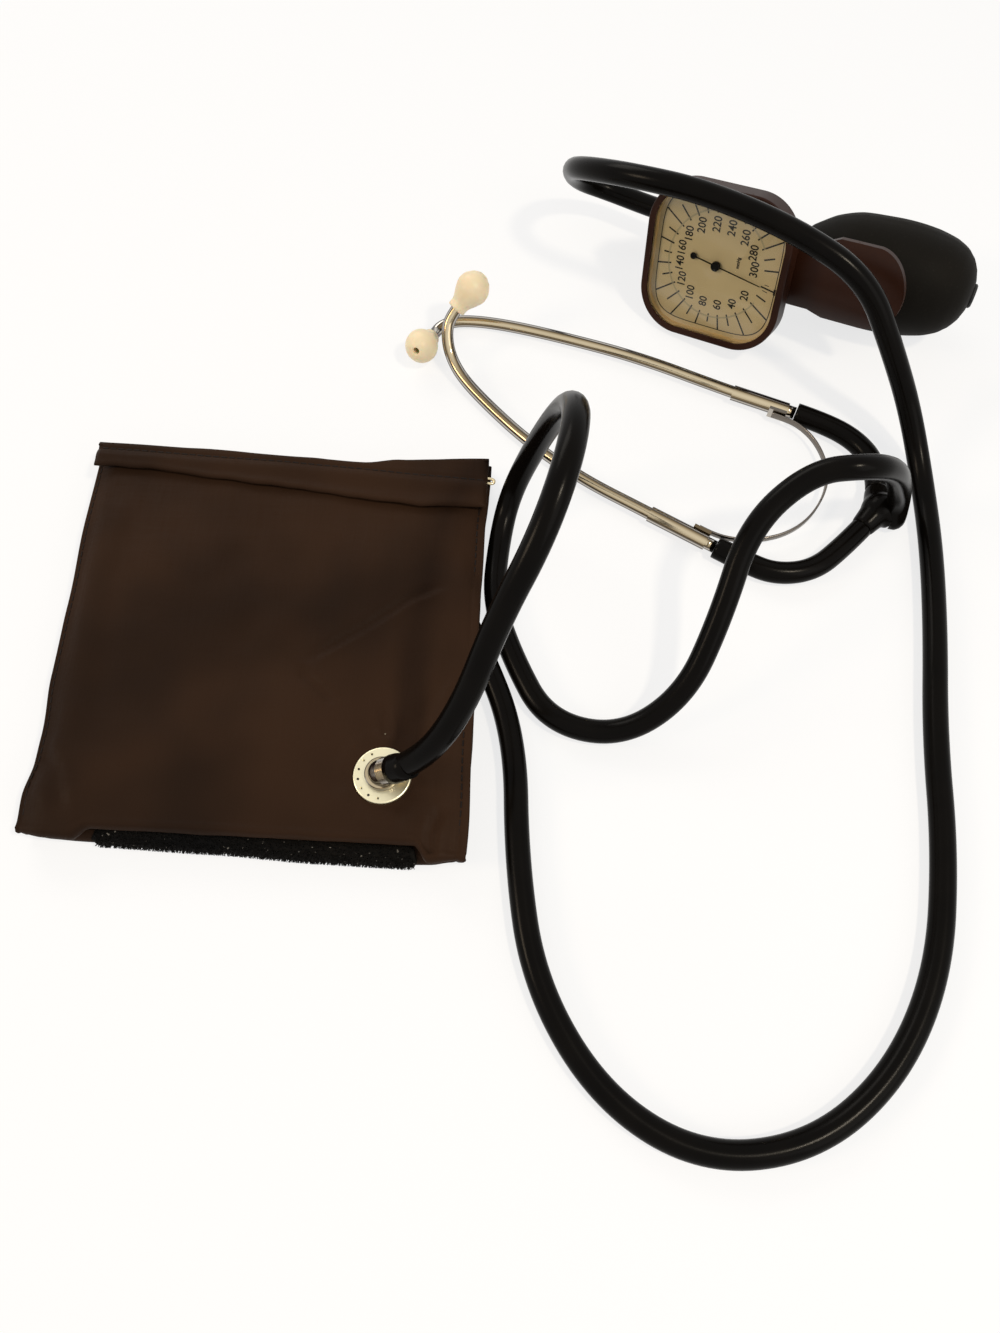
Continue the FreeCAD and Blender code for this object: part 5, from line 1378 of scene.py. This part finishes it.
# %% Stretched hose end
sleeve_line = [(nipple_end + nipple_axis * reach) * MM for reach in (1.4, 3.5, 6.5, 10)]
sleeve_mouth = 4.9         # radius at the rolled lip
sleeve_narrowing = 0.65


def sleeve_radius(share):
    return (sleeve_mouth - sleeve_narrowing * smooth_step(share, 0.25, 1.0)) * MM


sleeve = skinned("hose_end_sleeve", rings_along(sleeve_line, sleeve_radius, 32), HOSE, AS_IS)
finished(sleeve, "root", slot="hose_rubber")
ribs = [(0.2 * k - 2.6, 4.62 if k % 4 < 2 else 4.36) for k in range(21)]
rib_ring = turned_shell("nipple_ribs", ribs, [(-2.6, 4.24), (1.4, 4.24)],
                        along_axis(nipple_end, nipple_axis), CHROME, 48)
finished(rib_ring, "root", slot="bright_chrome")

# %% [markdown]
# ## Painted shade in the flange's pits
# The cast flange has a few small casting pits near its rim. A dark disc lies in each as painted shade.

# %% Flange pits
pit_sizes = (0.3, 0.22, 0.34, 0.44, 0.2, 0.42, 0.28)
pit_circle = 8.0
pit_height = 15.3
pit_first, pit_sweep = 120, 170        # degrees


# The dark discs in the pits are painted shade.
def flange_pits():
    form = bmesh.new()
    for index, size in enumerate(pit_sizes):
        turn = math.radians(pit_first + index * pit_sweep / len(pit_sizes))
        spot = Vector((head.x + pit_circle * math.cos(turn), head.y + pit_circle * math.sin(turn),
                       pit_height)) * MM
        bmesh.ops.create_circle(form, cap_ends=True, segments=16, radius=size * MM,
                                matrix=Matrix.Translation(spot))
    mesh = mesh_of(form, "flange_pits")
    mesh.materials.append(BAG)
    return finished(linked("flange_pits", mesh), "root", slot="cast_metal")


# %% [markdown]
# ## The gauge
# Case, rim, back cover and handle are one dark red-brown moulding plastic. The plate behind the
# glass is cream, and its print is real thin geometry: a border with rounded corners, ticks that
# reach it, numerals, a small mark at zero, and the unit.


# %% Gauge finishes
def case_plastic():
    finish = Finish("case_plastic", (0.036, 0.0125, 0.0062), 0.34, Specular_IOR_Level=0.12)
    cloud = finish.noise(20, 3)
    scuffs = finish.noise(1.6, 2, stretch=(1, 0.15, 1)).above(0.62, 0.75)
    finish.feed("Base Color", finish.mix(cloud, (0.015, 0.0048, 0.0023), (0.031, 0.0100, 0.0045)))
    finish.feed("Roughness", 0.28 + cloud * 0.12 + scuffs * 0.12)
    return finish.material


def dial_paper():
    finish = Finish("dial_cream", (0.50, 0.40, 0.22), 0.5, Specular_IOR_Level=0.2)
    cloud = finish.noise(30, 2)
    finish.feed("Base Color", finish.mix(cloud, (0.66, 0.52, 0.29), (0.76, 0.61, 0.36)))
    return finish.material


def clear_glass():
    """Thin clear cover: straight through, with a mirror that grows towards the edge."""
    material, tree = bare_material("clear_cover")
    through = add_node(tree, "ShaderNodeBsdfTransparent", {"Color": (0.96, 0.97, 0.96, 1)})
    mirror = add_node(tree, "ShaderNodeBsdfGlossy", {"Color": (1, 1, 1, 1), "Roughness": 0.04})
    rim = add_node(tree, "ShaderNodeFresnel", {"IOR": 1.3})
    mix_shaders(tree, "ShaderNodeOutputMaterial", rim, through, mirror)
    return material


def flat(name, colour, roughness=0.55, specular=0.3):
    finish = Finish(name, colour, roughness, Specular_IOR_Level=specular)
    finish.feed("Roughness", roughness - 0.05 + finish.noise(3, 2) * 0.1)
    return finish.material


CASE = case_plastic()
DIAL = dial_paper()
GLASS = clear_glass()
# The spacer's cream is painted light: lighter than its own colour, on a band that lies in shade.
PAINTED_LIGHT_SPACER = flat("spacer_cream_painted_light", (0.85, 0.62, 0.30), 0.35, 0.4)
PRINT = flat("dial_print", (0.012, 0.011, 0.010), 0.5)
PALE_PRINT = flat("pale_print", (0.52, 0.43, 0.26), 0.5)
POINTER = flat("pointer_black", (0.004, 0.004, 0.004), 0.4, 0.1)
SEAL = flat("seal_black", (0.010, 0.010, 0.010), 0.6)
MEMBRANE = flat("membrane", (0.45, 0.44, 0.40), 0.3)
BAG = flat("bag_rubber", (0.03, 0.026, 0.022), 0.6, 0.2)
LOOPS = flat("loop_cloth", (0.012, 0.011, 0.010), 0.8, 0.1)
flange_pits()

# %% [markdown]
# The ticks come from one Geometry Nodes tree. It sets out points, works out each one's angle from
# its index, and how far the rounded border is in that direction. A unit square on each point is
# then stretched from the inner circle out to its share of that distance.


# %% Ticks with Geometry Nodes
def tick_tree():
    lengths = ("First", "Step", "Inner", "Border", "Power", "Share", "Width")
    tree, given = new_tree("tick_ring", {"Count": "Int", **dict.fromkeys(lengths, "Float"),
                                         "Material": "Material"})

    def maths(operation, *values):
        return add_node(tree, "ShaderNodeMath", dict(enumerate(values)), operation=operation)

    def vector(*values):
        return add_node(tree, "ShaderNodeCombineXYZ", dict(enumerate(values)))

    dots = add_node(tree, "GeometryNodePoints", {"Count": given["Count"]})
    index = add_node(tree, "GeometryNodeInputIndex")
    angle = maths("RADIANS", maths("ADD", maths("MULTIPLY", index, given["Step"]), given["First"]))
    cosine, sine = maths("COSINE", angle), maths("SINE", angle)
    reach = maths("ADD", maths("POWER", maths("ABSOLUTE", cosine), given["Power"]),
                  maths("POWER", maths("ABSOLUTE", sine), given["Power"]))
    root = maths("POWER", reach, maths("DIVIDE", -1.0, given["Power"]))
    border = maths("MULTIPLY", given["Border"], root)
    length = maths("MULTIPLY", maths("SUBTRACT", border, given["Inner"]), given["Share"])
    middle = maths("ADD", given["Inner"], maths("MULTIPLY", length, 0.5))
    spots = vector(maths("MULTIPLY", cosine, middle), maths("MULTIPLY", sine, middle), 0.0)
    placed = add_node(tree, "GeometryNodeSetPosition", {"Geometry": dots, "Position": spots})
    square = add_node(tree, "GeometryNodeMeshGrid", {"Vertices X": 2, "Vertices Y": 2})
    ticks = add_node(tree, "GeometryNodeInstanceOnPoints", {
        "Points": placed, "Instance": square, "Rotation": vector(0.0, 0.0, angle),
        "Scale": vector(length, given["Width"], 1.0)})
    return end_tree(tree, given, ticks)


TICKS = tick_tree()
zero_angle = -10.0
degrees_per_ten = 11.4
tick_inner = 19.8
border_half = 25.4
border_power = 4.6
print_height = 0.06
pale_circle = 20.9
numeral_size = 4.7
numeral_reach = Vector((15.6, 15.3))     # across and up the dial


def printed(piece):
    """Move flat print from millimetres in the dial's plane to its place on the plate."""
    piece.data.transform(GAUGE @ Matrix.Translation((0, 0, print_height)))
    return finished(piece, "root", slot="pointer_black")


def tick_ring(name, count, first, step, share, width, inner=tick_inner):
    piece = linked(name, bpy.data.meshes.new(name))
    grown(piece, TICKS, {"Count": count, "First": first, "Step": step, "Inner": inner,
                         "Border": border_half, "Power": border_power, "Share": share,
                         "Width": width, "Material": PRINT})
    return printed(piece)


tick_ring("long_ticks", 16, zero_angle, -2 * degrees_per_ten, 1.0, 0.62)
tick_ring("short_ticks", 15, zero_angle - degrees_per_ten, -2 * degrees_per_ten, 0.62, 0.62)
tick_ring("zero_lines", 2, zero_angle - 3.2, 6.4, 0.42, 0.28, tick_inner + 1.2)


# %% [markdown]
# The border is a circle that is pulled out towards a square. A ribbon of flat faces follows it, and
# two more ribbons make the pale circle and the block at zero.

# %% Border, circle and zero mark
def border_point(angle, half):
    reach = abs(math.cos(angle)) ** border_power + abs(math.sin(angle)) ** border_power
    radius = half * reach ** (-1 / border_power)
    return radius * math.cos(angle), radius * math.sin(angle)


def ring_print(name, path_at, width, first, last, count, material):
    """A flat line of print between two angles in degrees."""
    angles = [math.radians(turn) for turn in spaced(first, last, count)]
    rows = [[(*path_at(angle, shift), 0) for shift in (-width / 2, width / 2)] for angle in angles]
    points, faces = sheet(rows)
    piece = new_piece(name, points, faces, material, AS_IS, smooth=False)
    if piece.data.polygons[0].normal.z < 0:
        piece.data.flip_normals()
    return printed(piece)


def on_border(angle, shift):
    return border_point(angle, border_half + shift)


def on_circle(angle, shift):
    radius = pale_circle + shift
    return radius * math.cos(angle), radius * math.sin(angle)


ring_print("dial_border", on_border, 0.34, 0, 360, 240, PRINT)
ring_print("pale_circle", on_circle, 0.7, -30, -330, 180, PALE_PRINT)
ring_print("zero_block", on_border, 0.9, zero_angle - 2.6, zero_angle + 2.6, 8, PRINT)


# %% [markdown]
# The numerals are text, made into flat meshes and joined to one piece. They are set a little further
# out towards the corners of the dial, where the border leaves more room.

# %% Numerals
def words(name, text, size, x, y, narrow=0.86):
    """Text that reads up the dial, as a flat mesh."""
    curve = bpy.data.curves.new(name, "FONT")
    curve.body = text
    curve.size = size
    curve.align_x = "CENTER"
    curve.align_y = "CENTER"
    curve.resolution_u = 3
    curve.offset = 0.085
    maker = linked(name + "_maker", curve)
    mesh = plain_mesh(maker)
    bpy.data.objects.remove(maker)
    turn = Matrix.Rotation(math.radians(90), 4, "Z")
    mesh.transform(Matrix.Translation((x, y, 0)) @ turn @ Matrix.Diagonal((narrow, 1, 1, 1)))
    mesh.materials.clear()
    mesh.materials.append(PRINT)
    return mesh


def join_print(name, meshes):
    """One print piece out of many flat meshes."""
    form = bmesh.new()
    for mesh in meshes:
        form.from_mesh(mesh)
        bpy.data.meshes.remove(mesh)
    whole = mesh_of(form, name)
    whole.materials.append(PRINT)
    return printed(linked(name, whole))


numerals = []
for value in range(20, 301, 20):
    turn = math.radians(zero_angle - degrees_per_ten * value / 10)
    stretch = 1 + 0.06 * abs(math.sin(2 * turn))
    numerals.append(words(f"numeral_{value}", str(value), numeral_size,
                          numeral_reach.x * stretch * math.cos(turn),
                          numeral_reach.y * stretch * math.sin(turn)))
numerals.append(words("unit", "mmHg", 1.9, 8.6, 3.0))
join_print("dial_numerals", numerals)

# %% [markdown]
# ## Pointer
# A thin stamped needle with a round counterweight and a black hub, over the plate at zero.


# %% Pointer
def make_pointer():
    form = bmesh.new()
    turn = Matrix.Rotation(math.radians(zero_angle), 4, "Z")
    low, high = 0.85, 1.15
    outline = ((-9.4, -0.22), (19.2, -0.14), (19.8, 0), (19.2, 0.14), (-9.4, 0.22))
    lower = [form.verts.new(turn @ Vector((x, y, low))) for x, y in outline]
    upper = [form.verts.new(turn @ Vector((x, y, high))) for x, y in outline]
    form.faces.new(lower[::-1])
    form.faces.new(upper)
    for k in range(len(outline)):
        after = (k + 1) % len(outline)
        form.faces.new((lower[k], lower[after], upper[after], upper[k]))
    for x, radius, top in ((-10.2, 1.35, high + 0.05), (0, 1.9, 1.9)):
        spot = turn @ Vector((x, 0, (low + top) / 2))
        bmesh.ops.create_cone(form, cap_ends=True, segments=40, radius1=radius, radius2=radius * 0.96,
                              depth=top - low, matrix=Matrix.Translation(spot))
    mesh = mesh_of(form, "pointer_needle")
    mesh.transform(GAUGE)
    mesh.materials.append(POINTER)
    piece = linked("pointer_needle", mesh)
    outward(mesh)
    return finished(piece, "pointer_shaft", "pointer", slot="pointer_black")


make_pointer()

# %% [markdown]
# ## Squeeze bulb
# The bulb is a soft lathe-turned shell, a little uneven because it is dipped rubber. Its mouth is
# stretched over the nipple, and the bulb leans there, so its own axis is tilted from the gauge's.

# %% Bulb
bulb_pivot = Vector((19, -3.9, -38.2))
bulb_lean = (Matrix.Translation(bulb_pivot) @ turned_by(-3.0, 9.8)
             @ Matrix.Translation(-bulb_pivot))
bulb_place = GAUGE @ bulb_lean @ Matrix.Translation((0, bulb_pivot.y, bulb_pivot.z))
bulb_start, bulb_end, bulb_radius, bulb_wall = 14.0, 90.0, 21.4, 2.4
bulb_shares = ((0.0, 0.298), (0.05, 0.36), (0.12, 0.60), (0.22, 0.83), (0.34, 0.965), (0.5, 1.0),
               (0.62, 0.995), (0.74, 0.955), (0.84, 0.87), (0.91, 0.75), (0.96, 0.585), (0.985, 0.44),
               (1.0, 0.28))


def make_bulb():
    places = spaced(0, 1, 60)
    outer = [(bulb_start + (bulb_end - bulb_start) * place, width * bulb_radius)
             for place, width in zip(places, eased(bulb_shares, places))]
    inner = [(bulb_start, 4.22), (24.0, 4.22)]
    inner += [(x, max(radius - bulb_wall, 4.3)) for x, radius in outer if 25 < x < 82]
    inner += [(82.0, 4.02), (bulb_end, 4.02)]
    bulb = turned_shell("bulb_skin", outer, inner, bulb_place, BULB, 96)
    back = bulb_place.inverted()
    for vertex in bulb.data.vertices:
        local = back @ vertex.co
        spread = math.hypot(local.y, local.z)
        if spread < 4.6:
            continue
        uneven = noise.noise(Vector((local.x / 22, local.y / 16, local.z / 16))) * 0.35
        seam = 0.14 * math.exp(-(local.z / 0.35) ** 2)
        ridge = 0.18 * math.exp(-((local.x - 86.4) / 0.5) ** 2)
        share = 1 + (uneven + seam + ridge) / spread * smooth_step(spread, 4.6, 9)
        vertex.co = bulb_place @ Vector((local.x, local.y * share, local.z * share))
    return finished(bulb, "root", "squeeze_bulb", slot="bulb_rubber")


def make_end_valve():
    """The inlet valve's body: a short hollow plug with a small round cap."""
    outer = [(82, 3.98), (90, 3.98), (90, 4.6), (90.9, 4.6), (91.4, 4.1)]
    inner = [(82, 2.15), (89, 2.15), (89, 1.1), (91.4, 1.1)]
    valve = turned_shell("end_valve_cap", outer, inner, bulb_place, SEAL, 48)
    return finished(valve, "root", "end_valve_body", slot="plated_brass")


make_bulb()
make_end_valve()

# %% [markdown]
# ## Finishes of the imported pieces
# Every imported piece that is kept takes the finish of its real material, those inside the case too.


# %% Assign finishes
finishes = (
    (CASE, "gauge_housing gauge_back_cover bezel_ring spoon_handle"),
    (DIAL, "dial_plate"),
    (GLASS, "lens"),
    (CAST, "chestpiece_flange chestpiece_bell"),
    (CHROME, "clamp_nut hose_nipple spring_clip_1 spring_clip_2"),
    (MEMBRANE, "chestpiece_diaphragm"),
    (SEAL, "diaphragm_ring case_gasket"),
    (PAINTED_LIGHT_SPACER, "lens_gasket"),
    (BAG, "cuff_bladder bladder_nozzle"),
    (LOOPS, "loop_strip"),
    (BRASS, "hose_barb bulb_nipple valve_body valve_needle valve_knob"),
    (STEEL, "cover_screws movement_screws rocking_shaft check_ball inlet_ball air_block"),
    (SPRING, "hairspring"),
    (MOVEMENT, "movement_plate movement_bridge movement_pillars pinion_arbor sector_gear capsule_pad"),
    (BRONZE, "capsule_body"))
for material, names in finishes:
    for name in names.split():
        slots = bpy.data.objects[name].data.materials
        slots.clear()
        slots.append(material)
